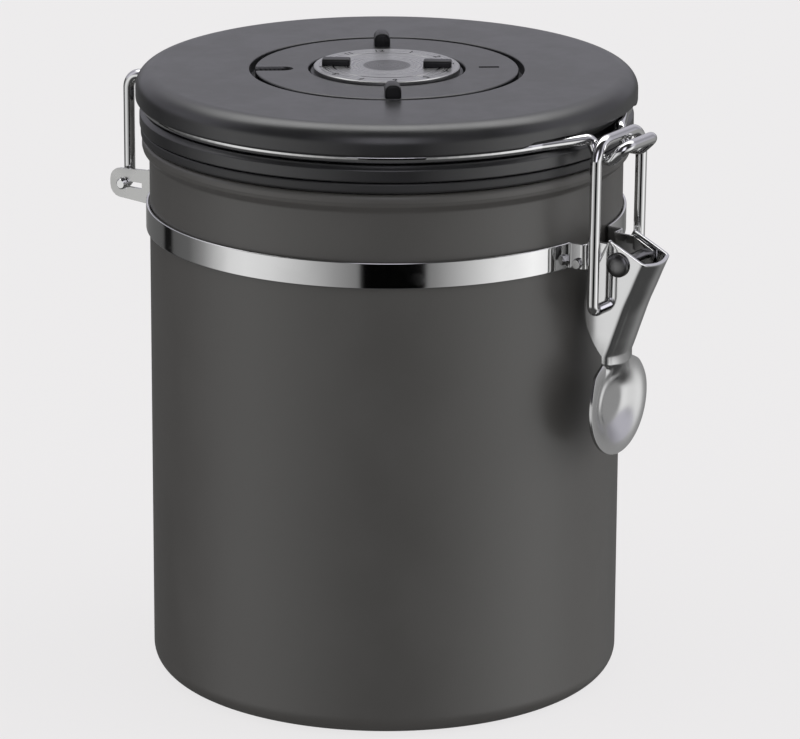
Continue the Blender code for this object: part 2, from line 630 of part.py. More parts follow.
def build_lever(pivot):
    """Latch lever: a sheet lofted from the eared channel down to the dished round pad."""
    edges = [np.array(edge).T for edge in (EAR_INNER, EAR_OUTER)]
    rows = []
    for station in np.linspace(0.0, 1.0, CHANNEL_ROWS):
        ends = [[np.interp(station, EAR_STATIONS, steps) for steps in edge] for edge in edges]
        rows.append(channel_row(*ends))
    last_channel = rows[-1]
    columns = len(last_channel)
    middle = columns // 2
    neck = math.asin(EAR_HALF / PAD_RADIUS)
    for angle in np.linspace(neck, PAD_LAST_ROW, PAD_ROWS):
        share = min(1.0, (angle - neck) / NECK_BLEND)
        spread = min(1.0, (angle - neck) / NECK_SPREAD)
        deep, wide = (part * part * (3 - 2 * part) for part in (share, spread))
        blend = np.array((wide, deep, wide))
        pad = pad_row(angle, columns)
        throat = last_channel.copy()
        throat[:, 2] += pad[0, 2] - last_channel[middle, 2] - WEB_CORNER * (1 - share)
        rows.append(throat * (1 - blend) + pad * blend)
    grid = np.array(rows) + np.array((0.0, -RIVET_OUT, RIVET_LEVEL))
    count = len(rows)
    faces = []
    for i in range(count - 1):
        for j in range(columns - 1):
            first = i * columns + j
            faces.append((first, first + columns, first + columns + 1, first + 1))
    mesh = bpy.data.meshes.new("latch_lever")
    mesh.from_pydata(grid.reshape(-1, 3).tolist(), [], faces)
    smooth(mesh)
    lever = add_part("latch_lever", mesh, POLISHED, pivot)
    solid = lever.modifiers.new("Sheet", 'SOLIDIFY')
    solid.thickness = LEVER_SHEET
    solid.offset = 0.0
    solid.use_even_offset = True
    holes = (("lever_rivet_hole", RIVET_RADIUS, (0.0, -RIVET_OUT, RIVET_LEVEL)),
             ("lever_link_hole", LINK_WIRE / 2, (0.0, -LINK_PIVOT_OUT, LINK_PIVOT_LEVEL)))
    for name, radius, centre in holes:
        mesh = cylinder(name, radius + HOLE_PLAY, 4 * EAR_HALF, 'X', centre)
        combine(lever, add_cutter(name, mesh))


def build_link(pivot):
    """Latch link: a wire loop with a crossbar on top and two hooks into the lever's ears."""
    hook_in = EAR_HALF - LEVER_SHEET / 2 - LINK_HOOK_IN
    half = [(0.0, -CROSSBAR_OUT, CROSSBAR_LEVEL), (LINK_SPREAD, -CROSSBAR_OUT, CROSSBAR_LEVEL),
            (LINK_SPREAD, -LINK_PIVOT_OUT, LINK_PIVOT_LEVEL), (hook_in, -LINK_PIVOT_OUT, LINK_PIVOT_LEVEL)]
    wire("latch_link", mirrored(rounded(half, (LINK_BEND, LINK_HOOK_BEND))), LINK_WIRE, POLISHED, pivot)


def build_hoop(pivot):
    """Lid hoop: nose, arms that dip under the link, groove ring, hinge legs and hooks, in one wire."""
    leave = math.asin(ARM_LEAVE / HOOP_RADIUS)
    start = ring_arc(HOOP_RADIUS, leave, leave + math.radians(3), HOOP_LEVEL)
    front = [(0.0, -COLLAR_RADIUS - NOSE_REACH, HOOP_LEVEL - NOSE_DROP),
             (ARM_SPREAD, -COLLAR_RADIUS - NOSE_REACH, HOOP_LEVEL - NOSE_DROP),
             (ARM_SPREAD, -COLLAR_RADIUS - DIP_FAR, DIP_LEVEL),
             (ARM_SPREAD, -COLLAR_RADIUS - DIP_NEAR, DIP_LEVEL),
             (ARM_SPREAD, -COLLAR_RADIUS - ARM_EXIT, HOOP_LEVEL), start[0], start[-1]]
    path = rounded(front, (NOSE_BEND, ARM_BEND, ARM_BEND * 0.95, ARM_BEND, 4 * ARM_BEND))
    foot = math.sqrt(HOOP_RADIUS ** 2 - LEG_SPREAD ** 2)
    turn_at = math.pi - math.asin(LEG_SPREAD / HOOP_RADIUS)
    last = turn_at - 1.4 * LEG_BEND / HOOP_RADIUS
    path += [np.array(p) for p in ring_arc(HOOP_RADIUS, leave + math.radians(6), last, HOOP_LEVEL)]
    ear_outside = HINGE_EAR + BRACKET_SHEET / 2
    back = [path.pop(), (LEG_SPREAD, foot, HOOP_LEVEL), (LEG_SPREAD, HINGE_OUT, HOOP_LEVEL),
            (LEG_SPREAD, HINGE_OUT, HINGE_LEVEL), (ear_outside + HOOK_PROUD, HINGE_OUT, HINGE_LEVEL)]
    path += rounded(back, (LEG_BEND, LEG_BEND, HOOK_BEND))
    wire("lid_hoop", mirrored(path), HOOP_WIRE, POLISHED, pivot)


def build_lid(pivot):
    """Lid shell, gasket, liner and the liner's screws."""
    recess = RING_RADIUS + RING_GROOVE
    recess_wall = recess + FLOOR_PLATE
    hub = SPINDLE_RADIUS + RUN_GAP
    profile = [(hub, RECESS_FLOOR), (recess, RECESS_FLOOR), (recess, LID_TOP)]
    profile += arc(LID_RADIUS - DISC_TOP_ROUND, LID_TOP - DISC_TOP_ROUND, DISC_TOP_ROUND, 90, 0, 4)
    profile += arc(LID_RADIUS - DISC_LOW_ROUND, DISC_BOTTOM + DISC_LOW_ROUND, DISC_LOW_ROUND, 0, -90, 3)
    profile += [(GROOVE_RADIUS, DISC_BOTTOM), (GROOVE_RADIUS, COLLAR_TOP),
                (COLLAR_RADIUS - COLLAR_CHAMFER, COLLAR_TOP), (COLLAR_RADIUS, COLLAR_TOP - COLLAR_CHAMFER),
                (COLLAR_RADIUS, COLLAR_BOTTOM), (SKIRT_INNER, COLLAR_BOTTOM), (SKIRT_INNER, DISC_UNDER),
                (recess_wall, DISC_UNDER), (recess_wall, FLOOR_UNDER), (hub, FLOOR_UNDER)]
    shell = turned("lid_shell", profile, MOULDED, pivot)

    step = LINER_FLANGE_RADIUS + HOLE_PLAY + HOLE_PLAY
    lip = SKIRT_INNER + SEAT_GAP
    edge = BODY_RADIUS + GASKET_OVERHANG
    soft = GASKET_HEIGHT / 4
    lip_low = GASKET_TOP - GASKET_LIP
    turned("lid_gasket", [(lip, GASKET_TOP), (edge, GASKET_TOP), (edge, GASKET_BOTTOM + soft),
                          (edge - soft, GASKET_BOTTOM), (step, GASKET_BOTTOM), (step, lip_low), (lip, lip_low)],
           SILICONE, pivot)

    top_out = BODY_RADIUS - LINER_TOP_INSET
    low_out = BODY_RADIUS - LINER_LOW_INSET
    profile = [(0.0, LINER_FLOOR), (low_out - LINER_WALL, LINER_FLOOR), (top_out - LINER_WALL, FLANGE_TOP),
               (LINER_FLANGE_RADIUS, FLANGE_TOP), (LINER_FLANGE_RADIUS, FLANGE_TOP - LINER_FLANGE),
               (top_out, FLANGE_TOP - LINER_FLANGE), (low_out + LINER_WALL / 2, LINER_LOW + LINER_WALL),
               (low_out - LINER_WALL, LINER_LOW), (0.0, LINER_LOW)]
    liner = turned("lid_liner", profile, MOULDED, pivot)

    post_low = LINER_FLOOR + SEAT_GAP
    post_high = LID_TOP - DISC_PLATE / 2
    head_low = LINER_LOW - SEAT_GAP - SCREW_HEAD_HEIGHT
    tip = head_low + SCREW_HEAD_HEIGHT + SCREW_LENGTH
    bore = SCREW_SHANK + HOLE_PLAY
    for index in range(POST_COUNT):
        angle = 2 * math.pi * index / POST_COUNT + math.pi / 2
        x = POST_CIRCLE * math.cos(angle)
        y = POST_CIRCLE * math.sin(angle)
        number = str(index + 1)
        post = cylinder("post_" + number, POST_RADIUS, post_high - post_low, 'Z',
                        (x, y, (post_high + post_low) / 2), 16)
        combine(shell, add_cutter("post_" + number, post), 'UNION')
        pilot_top = tip + SEAT_GAP
        pilot_low = LINER_LOW - SCREW_HEAD_HEIGHT
        pilot = cylinder("pilot_" + number, bore, pilot_top - pilot_low, 'Z',
                         (x, y, (pilot_top + pilot_low) / 2), 12)
        pilot = add_cutter("pilot_" + number, pilot)
        combine(shell, pilot)
        combine(liner, pilot)
        profile = [(0.0, tip), (SCREW_SHANK, tip), (SCREW_SHANK, head_low + SCREW_HEAD_HEIGHT),
                   (SCREW_HEAD, head_low + SCREW_HEAD_HEIGHT), (SCREW_HEAD, head_low + SCREW_HEAD_HEIGHT / 3),
                   (SCREW_HEAD * 0.7, head_low), (0.0, head_low)]
        screw = turned("liner_screw_" + number, profile, SATIN, pivot, steps=12)
        screw.location.x += x
        screw.location.y += y


def grip_bar(name, size, edge, centre_radius, foot, turn, parent):
    """A raised radial bar with a rounded top, across the turn direction."""
    length, across, height = size
    corners = [(-across / 2, 0.0), (across / 2, 0.0), (across / 2, height), (-across / 2, height)]
    path = rounded(corners + corners[:1], (GRIP_FOOT_ROUND, edge, edge))
    outline = [tuple(p) for p in path[:-1]]
    frame = Matrix.Rotation(turn, 4, 'Z') @ Matrix.Translation((centre_radius, 0.0, foot)) @ SIDE_FRAME
    return add_part(name, extruded(name, outline, length, frame), BLACK, parent)


def build_ring(pivot):
    """Date ring with its inner lip, pointer notch and two raised grips."""
    lip_inner = RING_INNER - RING_LIP_REACH
    profile = [(RING_INNER, LID_TOP), (RING_RADIUS, LID_TOP), (RING_RADIUS, RING_BOTTOM),
               (lip_inner, RING_BOTTOM), (lip_inner, RING_LIP_TOP), (RING_INNER, RING_LIP_TOP)]
    ring = turned("date_ring", profile, MOULDED, pivot)
    point = RING_RADIUS - NOTCH_LENGTH
    half = NOTCH_WIDTH / 2
    past = RING_RADIUS + NOTCH_DEPTH
    outline = [(past, -half), (past, half), (point + NOTCH_POINT, half), (point, 0.0),
               (point + NOTCH_POINT, -half)]
    frame = plan_frame(LID_TOP) @ Matrix.Rotation(RING_TURN - math.pi / 2, 4, 'Z')
    combine(ring, add_cutter("pointer_notch", extruded("pointer_notch", outline, 2 * NOTCH_DEPTH, frame)))
    front = RING_RADIUS - RING_GRIP_EDGE - RING_GRIP[0] / 2
    rear = RING_RADIUS - REAR_GRIP_EDGE - RING_GRIP[0] / 2
    foot = LID_TOP + SEAT_GAP
    grip_bar("ring_grip_front", RING_GRIP, RING_GRIP_ROUND, front, foot, RING_TURN, pivot)
    grip_bar("ring_grip_rear", RING_GRIP, RING_GRIP_ROUND, rear, foot, RING_TURN + math.pi, pivot)


def build_dial(pivot):
    """Dial base on its spindle, the dial plate and its grips, and the washer and screw below."""
    flange = RING_INNER - DIAL_FLANGE_EDGE
    boss = RING_INNER - RING_LIP_REACH - RUN_GAP
    bore = SCREW_SHANK + HOLE_PLAY
    washer_top = SPINDLE_LOW - SEAT_GAP
    washer_low = washer_top - WASHER_HEIGHT
    head_top = washer_low - SEAT_GAP
    thread_top = DIAL_FLANGE_LOW
    bore_top = thread_top + SEAT_GAP
    profile = [(0.0, DIAL_FLANGE_TOP), (flange, DIAL_FLANGE_TOP), (flange, DIAL_FLANGE_LOW),
               (boss, DIAL_FLANGE_LOW), (boss, RING_BOTTOM), (SPINDLE_RADIUS, RING_BOTTOM),
               (SPINDLE_RADIUS, SPINDLE_LOW), (bore, SPINDLE_LOW), (bore, bore_top), (0.0, bore_top)]
    turned("dial_base", profile, BLACK, pivot, steps=40)
    edge = DIAL_PLATE / 5
    turned("dial_plate", [(0.0, PLATE_TOP), (DIAL_RADIUS - edge, PLATE_TOP), (DIAL_RADIUS, PLATE_TOP - edge),
                          (DIAL_RADIUS, PLATE_LOW), (0.0, PLATE_LOW)], BRUSHED, pivot, steps=48)
    turned("dial_washer", [(bore, washer_top), (WASHER_RADIUS, washer_top), (WASHER_RADIUS, washer_low),
                           (bore, washer_low)], SATIN, pivot, steps=SMALL_STEPS)
    turned("dial_screw", [(0.0, thread_top), (SCREW_SHANK, thread_top), (SCREW_SHANK, head_top),
                          (SCREW_HEAD, head_top), (SCREW_HEAD, head_top - SCREW_HEAD_HEIGHT),
                          (0.0, head_top - SCREW_HEAD_HEIGHT)], SATIN, pivot, steps=12)
    foot = PLATE_TOP + SEAT_GAP
    grip_bar("dial_grip_right", DIAL_GRIP, DIAL_GRIP_ROUND, DIAL_GRIP_CENTRE, foot, DIAL_TURN, pivot)
    grip_bar("dial_grip_left", DIAL_GRIP, DIAL_GRIP_ROUND, DIAL_GRIP_CENTRE, foot, DIAL_TURN + math.pi, pivot)


lid_pivot = add_empty("lid_pivot", (0.0, HINGE_OUT, HINGE_LEVEL))
ring_pivot = add_empty("ring_pivot", (0.0, 0.0, RECESS_FLOOR), lid_pivot)
dial_pivot = add_empty("dial_pivot", (0.0, 0.0, RECESS_FLOOR), lid_pivot)
lever_pivot = add_empty("lever_pivot", (0.0, -RIVET_OUT, RIVET_LEVEL))
link_pivot = add_empty("link_pivot", (0.0, -LINK_PIVOT_OUT, LINK_PIVOT_LEVEL), lever_pivot)

build_body()
build_band()
build_bracket()
build_lever(lever_pivot)
build_link(link_pivot)
build_hoop(lid_pivot)
build_lid(lid_pivot)
build_ring(ring_pivot)
build_dial(dial_pivot)
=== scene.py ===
"""Looks of the food canister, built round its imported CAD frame.

Metres, +Z up. The origin is the centre of the base, the latch is at -Y and the hinge at +Y, as in the frame.
"""
import json
import math

import bmesh
import bpy
import numpy as np
from bpy.props import FloatProperty, FloatVectorProperty, PointerProperty
from bpy.types import Operator, Panel, PropertyGroup
from mathutils import Matrix, Vector


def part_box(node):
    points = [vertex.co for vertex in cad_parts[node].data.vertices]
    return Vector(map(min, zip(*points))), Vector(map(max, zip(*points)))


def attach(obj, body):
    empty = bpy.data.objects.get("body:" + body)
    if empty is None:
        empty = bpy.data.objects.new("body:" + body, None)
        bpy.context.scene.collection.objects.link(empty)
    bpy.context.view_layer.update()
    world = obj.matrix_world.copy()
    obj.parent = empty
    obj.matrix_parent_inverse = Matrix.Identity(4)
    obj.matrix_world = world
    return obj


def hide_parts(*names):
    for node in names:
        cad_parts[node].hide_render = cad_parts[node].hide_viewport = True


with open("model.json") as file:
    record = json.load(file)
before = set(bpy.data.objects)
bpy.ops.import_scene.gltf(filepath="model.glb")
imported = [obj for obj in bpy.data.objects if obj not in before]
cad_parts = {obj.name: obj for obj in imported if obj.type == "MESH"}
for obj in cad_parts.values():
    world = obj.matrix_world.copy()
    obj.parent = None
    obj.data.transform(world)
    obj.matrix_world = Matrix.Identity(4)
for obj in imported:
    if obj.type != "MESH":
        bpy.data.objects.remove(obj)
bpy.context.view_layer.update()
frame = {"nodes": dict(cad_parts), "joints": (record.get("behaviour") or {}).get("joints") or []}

bl_info = {
    "name": "Food canister",
    "version": (1, 0, 0),
    "blender": (4, 5, 0),
    "location": "3D View > Sidebar > Canister",
    "description": "Builds a clamp-lid food canister with its latch, date ring and dial",
    "category": "Add Mesh",
}


def low(node):
    """Lowest corner of a CAD node."""
    return np.array(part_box(node)[0])


def high(node):
    """Highest corner of a CAD node."""
    return np.array(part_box(node)[1])


# Places read from the frame
PIVOTS = {joint["name"]: np.array(joint["pos_m"]) for joint in frame["joints"]}
HINGE = PIVOTS["lid_hinge"]
RIVET = PIVOTS["lever_hinge"]
LINK_PIVOT = PIVOTS["link_hinge"]
RECESS_FLOOR = PIVOTS["ring_turn"][2]
RIM_RADIUS = high("canister_body")[0]
BODY_TOP = high("canister_body")[2]
BAND_RADIUS = high("clamp_band")[0]
BAND_LOW = low("clamp_band")[2]
BAND_TOP = high("clamp_band")[2]
BAND_MIDDLE = (BAND_LOW + BAND_TOP) / 2
LID_RADIUS = high("lid_shell")[0]
LID_TOP = high("lid_shell")[2]
RING_RADIUS = high("date_ring")[0]
RING_LOW = low("date_ring")[2]
DIAL_RADIUS = high("dial_plate")[0]
DIAL_TOP = high("dial_plate")[2]
DIAL_LOW = low("dial_plate")[2]

# Lever's ear seen from the side, at shares of its length, as steps outward and up from the rivet: inner edge,
# then outer edge
EAR_STATIONS = (0.0, 0.15, 0.30, 0.50, 0.65, 0.80, 0.92, 1.0)
EAR_INNER = ((-0.0029, 0.0060), (-0.0056, 0.0010), (-0.0078, -0.0034), (-0.0095, -0.0090),
             (-0.0100, -0.0130), (-0.0092, -0.0180), (-0.0068, -0.0224), (-0.0044, -0.0252))
EAR_OUTER = ((0.0076, 0.0008), (0.0059, -0.0030), (0.0043, -0.0068), (0.0021, -0.0118),
             (0.0006, -0.0159), (-0.0008, -0.0198), (-0.0019, -0.0229), (-0.0029, -0.0255))

# Rounding of small edges, and how far a mark or a grip is sunk into what carries it
FINE_ROUND = 0.0002
SEAT_SINK = 0.0001
# How many times wider a rivet's head is than its shank
HEAD_OVER_SHANK = 2.2
# Length of the steps round a wire's bends, and fewest and most steps round any bend
WIRE_STEP = 0.0003
BEND_STEPS = (4, 16)
# Points nearer than this are one point, on a worked-out surface, on a CAD mesh and along a path
MERGE_DISTANCE = 0.0000002
CAD_MERGE_DISTANCE = 0.000001
PATH_MERGE_DISTANCE = 0.000000001


def length(name, description, default):
    """A length that the user can set."""
    return FloatProperty(name=name, description=description, default=default, unit='LENGTH', precision=5)


def share(name, description, default):
    """A share from 0 to 1 that the user can set."""
    return FloatProperty(name=name, description=description, default=default, min=0.0, max=1.0,
                         subtype='FACTOR')


def turn(name, description, degrees):
    """An angle that the user can set."""
    return FloatProperty(name=name, description=description, default=math.radians(degrees), subtype='ANGLE')


def colour(name, description, default):
    """A colour that the user can set."""
    return FloatVectorProperty(name=name, description=description, default=default, size=3, min=0.0, max=1.0,
                               subtype='COLOR')


def brightness(name, description, default):
    """A light's brightness that the user can set."""
    return FloatProperty(name=name, description=description, default=default, min=0.0)


class BodySettings(PropertyGroup):
    """Sizes of the steel body."""
    wall: length("Wall", "Thickness of the steel", 0.0009)
    base_round: length("Base round", "Radius of the corner at the base", 0.0055)
    rim_step: length("Rim step", "Rolled bead beyond the wall", 0.0019)
    rim_bead: length("Rim bead", "Height of the rolled bead", 0.0028)
    rim_flare: length("Rim flare", "Height of the flare below the bead", 0.0026)
    mouth_round: length("Mouth round", "Radius of the bends inside the mouth", 0.0020)


class BandSettings(PropertyGroup):
    """Sizes of the clamp band and its fasteners."""
    sheet: length("Sheet", "Thickness of the band", 0.0007)
    edge: length("Edge", "Rounding of the band's edges", 0.00022)
    flange_out: length("Bolt flange", "Bolt flange from the middle", 0.0096)
    flange_in: length("Rivet flange", "Rivet flange from the middle", 0.0052)
    flange_jog: length("Jog", "Jog between the flanges, beyond the body wall", 0.0044)
    flange_end: length("Flange end", "Rivet flange beyond the rivet", 0.0037)
    flange_bend: length("Flange bend", "Radius of the flange's bends", 0.0009)
    flange_slope: length("Slope start", "Start of the rivet flange's slope, inside the rivet", 0.0024)
    flange_tip: length("Flange tip", "Top of the rivet flange's tip, above the rivet", 0.0016)
    bolt_out: length("Bolt place", "Bolt beyond the body wall", 0.0028)
    bolt_drop: length("Bolt drop", "Bolt below the band's middle", 0.0018)
    bolt_radius: length("Bolt radius", "Radius of the bolt's shank", 0.00075)
    bolt_head: length("Bolt head", "Radius of the head over its corners", 0.0014)
    bolt_height: length("Head height", "Height of the head and the nut", 0.0013)
    rivet_head: length("Rivet head", "Radius of the lever rivet's head", 0.0032)
    rivet_dome: length("Rivet dome", "Height of the lever rivet's domes", 0.0015)


class BracketSettings(PropertyGroup):
    """Sizes of the hinge bracket's finish and rivets."""
    edge: length("Edge", "Rounding of the bracket's edges", 0.00016)
    rivet_head: length("Rivet head", "Radius of the rivet heads", 0.0022)
    rivet_dome: length("Rivet dome", "Height of the rivet domes", 0.0011)
    rivet_rim: length("Rivet rim", "Upright edge of the rivet domes", 0.0003)
    rivet_sink: length("Rivet sink", "How much deeper the domes sit than the CAD rivets' ends", 0.0006)
    rivet_turn: turn("Rivet angle", "Rivets each side of the middle, about the body", 9.0)


class LatchSettings(PropertyGroup):
    """Sizes of the lever and the wire link."""
    sheet: length("Sheet", "Thickness of the lever", 0.0009)
    ear_half: length("Ear", "Ears each side of the middle, at mid-sheet", 0.0063)
    web_corner: length("Web corner", "Radius between ear and web", 0.0013)
    web_crown: length("Web crown", "Rise of the web's middle", 0.0010)
    pad_radius: length("Pad radius", "Radius of the thumb pad", 0.0140)
    pad_drop: length("Pad drop", "Pad's middle below the rivet", 0.0387)
    pad_inset: length("Pad inset", "Pad's rim inside the rivet", 0.0032)
    pad_dish: length("Pad dish", "Depth of the pad's dish", 0.0028)
    pad_lip: share("Pad lip", "Flat lip, as a share of the pad's radius", 0.06)
    pad_slope: share("Pad slope", "Slope of the dish, as a share of the pad's radius", 0.62)
    neck_depth: turn("Neck depth", "Angle over which the ears' depth turns into the pad's", 55.0)
    neck_spread: turn("Neck spread", "Angle over which the channel's width turns into the pad's", 26.0)
    crescent_radius: length("Crescent", "Radius of the raised crescent on the pad", 0.0066)
    crescent_width: length("Crescent width", "Half width of the crescent at its middle", 0.0014)
    crescent_height: length("Crescent height", "Rise of the crescent", 0.0013)
    crescent_turn: turn("Crescent turn", "Direction of the crescent's middle on the pad", 150.0)
    crescent_span: turn("Crescent span", "Angle from the crescent's middle to its tips", 88.0)
    crescent_tip: share("Crescent tip", "Width of the tips as a share of the middle's", 0.35)
    edge: length("Edge", "Rounding of the lever's edges", 0.00018)
    wire: length("Wire", "Diameter of the link's wire", 0.0030)
    link_bend: length("Link bend", "Radius of the link's upper corners", 0.0055)
    hook_bend: length("Hook bend", "Radius of the link's hooks", 0.0022)
    hook_in: length("Hook end", "Wire end from the middle", 0.00445)


class HoopSettings(PropertyGroup):
    """Sizes of the wire hoop on the lid."""
    wire: length("Wire", "Diameter of the wire", 0.0030)
    leg_spread: length("Legs", "Hinge legs each side of the middle", 0.0145)
    leg_bend: length("Leg bend", "Radius of the legs' bends", 0.0040)
    hook_bend: length("Hook bend", "Radius of the hinge hooks", 0.0022)
    arm_spread: length("Arms", "Nose arms each side of the middle", 0.0072)
    arm_leave: length("Arm leaves", "Where the wire leaves the groove, from the middle", 0.0210)
    arm_exit: length("Arm shoulder", "Arm's shoulder beyond the collar", 0.0019)
    dip_near: length("Dip start", "Dip under the link, beyond the collar", 0.0040)
    dip_far: length("Dip end", "Far end of the dip, beyond the collar", 0.0080)
    dip_drop: length("Dip depth", "Dip below the groove ring", 0.0049)
    nose_drop: length("Nose drop", "Nose below the groove ring", 0.0009)
    arm_bend: length("Arm bend", "Radius of the arms' bends", 0.0020)
    nose_bend: length("Nose bend", "Radius of the nose's corners", 0.0026)


class LidSettings(PropertyGroup):
    """Sizes of the lid shell, its gasket and its liner."""
    top_round: length("Top round", "Height of the disc's rounded upper edge", 0.0045)
    top_spread: length("Top spread", "Width of the disc's rounded upper edge", 0.0050)
    low_round: length("Low round", "Radius of the disc's lower edge", 0.0008)
    lip_drop: length("Lip", "Lip of the disc's edge, down over the hoop", 0.0015)
    lip_width: length("Lip width", "Thickness of that lip", 0.0010)
    lip_gap: turn("Lip gap", "Half the gap in the lip over the nose and over the hinge legs", 22.0)
    recess_round: length("Recess round", "Radius of the recess's edge", 0.0003)
    ring_groove: length("Ring groove", "Groove between the date ring and the lid", 0.0015)
    collar_height: length("Collar height", "Height of the collar", 0.0043)
    collar_inset: length("Collar inset", "Collar inside the disc", 0.0010)
    collar_chamfer: length("Collar chamfer", "Chamfer on the collar's upper edge", 0.0011)
    groove_height: length("Groove height", "Height of the hoop's groove", 0.0038)
    groove_inset: length("Groove inset", "Floor of the groove inside the disc", 0.0044)
    groove_round: length("Groove round", "Radius of the groove's inner corners", 0.0003)
    collar_round: length("Collar round", "Rounding of the collar's chamfer", 0.0005)
    collar_foot: length("Collar foot", "Rounding of the collar's lower edge", 0.0004)
    skirt_wall: length("Skirt", "Wall between the groove and the inside", 0.0026)
    disc_plate: length("Disc plate", "Thickness of the disc", 0.0028)
    floor_plate: length("Floor plate", "Thickness of the recess floor", 0.0024)
    seat_gap: length("Seat gap", "Gap between two resting pieces", 0.0003)
    gasket_lip: length("Gasket lip", "Thin inner part of the gasket", 0.0011)
    gasket_soft: length("Gasket round", "Rounding of the gasket's lower edge", 0.0008)
    gasket_edge: length("Gasket edge", "Rounding of the gasket's upper and inner edge", 0.0004)
    liner_flange: length("Liner flange", "Thickness of the liner's flange", 0.0010)
    liner_wall: length("Liner wall", "Thickness of the liner", 0.0016)
    liner_top: length("Liner top", "Liner's wall inside its flange", 0.0030)
    liner_low: length("Liner low", "Liner's low edge inside its flange", 0.0077)
    liner_edge: length("Liner edge", "Rounding of the liner's flange", 0.0003)
    liner_neck: length("Liner neck", "Radius of the bend under the flange", 0.0006)
    liner_inner: length("Liner inside", "Radius of the bend inside the liner", 0.0010)
    liner_outer: length("Liner outside", "Radius of the bend outside the liner", 0.0018)
    screw_head: length("Screw head", "Radius of the liner screws' heads", 0.0026)
    screw_height: length("Screw height", "Height of the liner screws' heads", 0.0014)


class DialSettings(PropertyGroup):
    """Sizes of the date ring, the dial, their grips and marks."""
    ring_turn: turn("Ring turn", "Direction of the ring's front grip", -144.0)
    dial_turn: turn("Dial turn", "Direction of the dial's right grip", -60.5)
    ring_round: length("Ring round", "Radius of the ring's edges", 0.0004)
    groove: length("Groove", "Groove between the dial plate and the ring", 0.0014)
    ring_lip: length("Ring lip", "Reach of the ring's inner lip", 0.0031)
    lip_height: length("Lip height", "Height of the ring's inner lip", 0.0008)
    notch_width: length("Notch width", "Width of the pointer notch", 0.0046)
    notch_length: length("Notch length", "Length of the pointer notch", 0.0100)
    notch_point: length("Notch point", "Length of the notch's point", 0.0030)
    notch_depth: length("Notch depth", "Depth of the pointer notch", 0.0017)
    notch_edge: length("Notch edge", "Width of the notch's sloping side", 0.0003)
    mark_start: length("Mark start", "Inner end of the ring's mark", 0.0242)
    mark_end: length("Mark end", "Outer end of the ring's mark", 0.0295)
    mark_width: length("Mark width", "Width of the ring's mark", 0.0013)
    ink_rise: length("Ink rise", "Rise of the ring's mark and of the dial's numbers", 0.00003)
    plate_edge: length("Plate edge", "Chamfer on the dial plate's edge", 0.00022)
    line_radius: length("Line radius", "Radius of the line engraved on the dial", 0.0142)
    line_width: length("Line width", "Half width of that line", 0.00022)
    number_size: length("Number size", "Height of the dial's numbers", 0.0029)
    number_turn: turn("Number turn", "Direction of the number 12", 40.5)
    centre_radius: length("Centre radius", "Radius of the plain centre", 0.0062)
    flange_edge: length("Flange edge", "Gap between the dial's flange and the ring", 0.0005)
    flange_height: length("Flange height", "Height of the dial's flange", 0.0006)
    spindle_radius: length("Spindle", "Radius of the dial's spindle", 0.0025)
    fastener_round: length("Fastener round", "Rounding of the washer's and the screw's lower edge", 0.0003)
    ring_grip_round: length("Ring grip round", "Radius of the ring grips' upper edges", 0.0018)
    dial_grip_round: length("Dial grip round", "Radius of the dial grips' upper edges", 0.0007)
    grip_end: length("Grip ends", "Radius of the grips' ends", 0.0005)


class LooksSettings(PropertyGroup):
    """Colours and roughness of the finishes."""
    coat: colour("Coat", "Powder coat on the body", (0.054, 0.052, 0.049))
    lid: colour("Lid", "Moulded plastic of the lid", (0.0100, 0.0100, 0.0110))
    grip: colour("Grip", "Black plastic of the grips", (0.007, 0.007, 0.008))
    gasket: colour("Gasket", "Silicone of the gasket", (0.014, 0.014, 0.015))
    steel: colour("Steel", "Polished steel", (0.84, 0.84, 0.84))
    satin: colour("Satin", "Satin steel", (0.60, 0.60, 0.59))
    rivet: colour("Rivet", "Dark steel of the lever's rivet", (0.20, 0.20, 0.20))
    dial: colour("Dial", "Spun aluminium of the dial", (0.43, 0.43, 0.43))
    ink: colour("Ink", "Numbers and marks", (0.015, 0.015, 0.016))
    coat_rough: share("Coat roughness", "Roughness of the powder coat", 0.40)
    lid_rough: share("Lid roughness", "Roughness of the lid", 0.33)
    steel_rough: share("Steel roughness", "Roughness of the polished steel", 0.06)
    satin_rough: share("Satin roughness", "Roughness of the satin steel", 0.26)
    dial_rough: share("Dial roughness", "Roughness of the dial", 0.30)


class StageSettings(PropertyGroup):
    """Camera, floor and studio light."""
    azimuth: turn("Azimuth", "Camera's direction about the canister", -57.0)
    elevation: turn("Elevation", "Camera's height above the horizon", 16.86)
    roll: turn("Roll", "Camera's roll", 0.29)
    distance: length("Distance", "Camera to the middle of the canister", 1.273)
    middle: length("Middle", "Height that the camera looks at", 0.0850)
    aside: length("Aside", "How far right of it the camera aims", 0.00385)
    below: length("Below", "How far below it the camera aims", 0.00385)
    focal: FloatProperty(name="Focal length", description="Lens on a 36 mm sensor, in millimetres",
                         default=214.4, unit='CAMERA')
    backdrop: colour("Backdrop", "Pale floor and backdrop", (0.823, 0.812, 0.817))
    floor_radius: length("Floor radius", "Radius of the floor", 6.0)
    floor_glow: share("Floor glow", "How much of the floor's paleness is its own glow", 0.92)
    floor_shade: share("Floor shade", "How much of its colour takes the light and the shadow", 0.10)
    floor_gap: length("Floor gap", "Gap between the floor and the base", 0.0002)
    dome_level: brightness("Dome", "Brightness of the soft light overhead", 0.8)
    lamp_level: brightness("Lamp panel", "Brightness of the panel overhead", 2.9)
    ceiling_level: brightness("Ceiling", "Brightness of the ceiling in front of that panel", 0.03)
    ground_level: brightness("Ground", "Brightness of the ground that the gloss shows", 0.06)


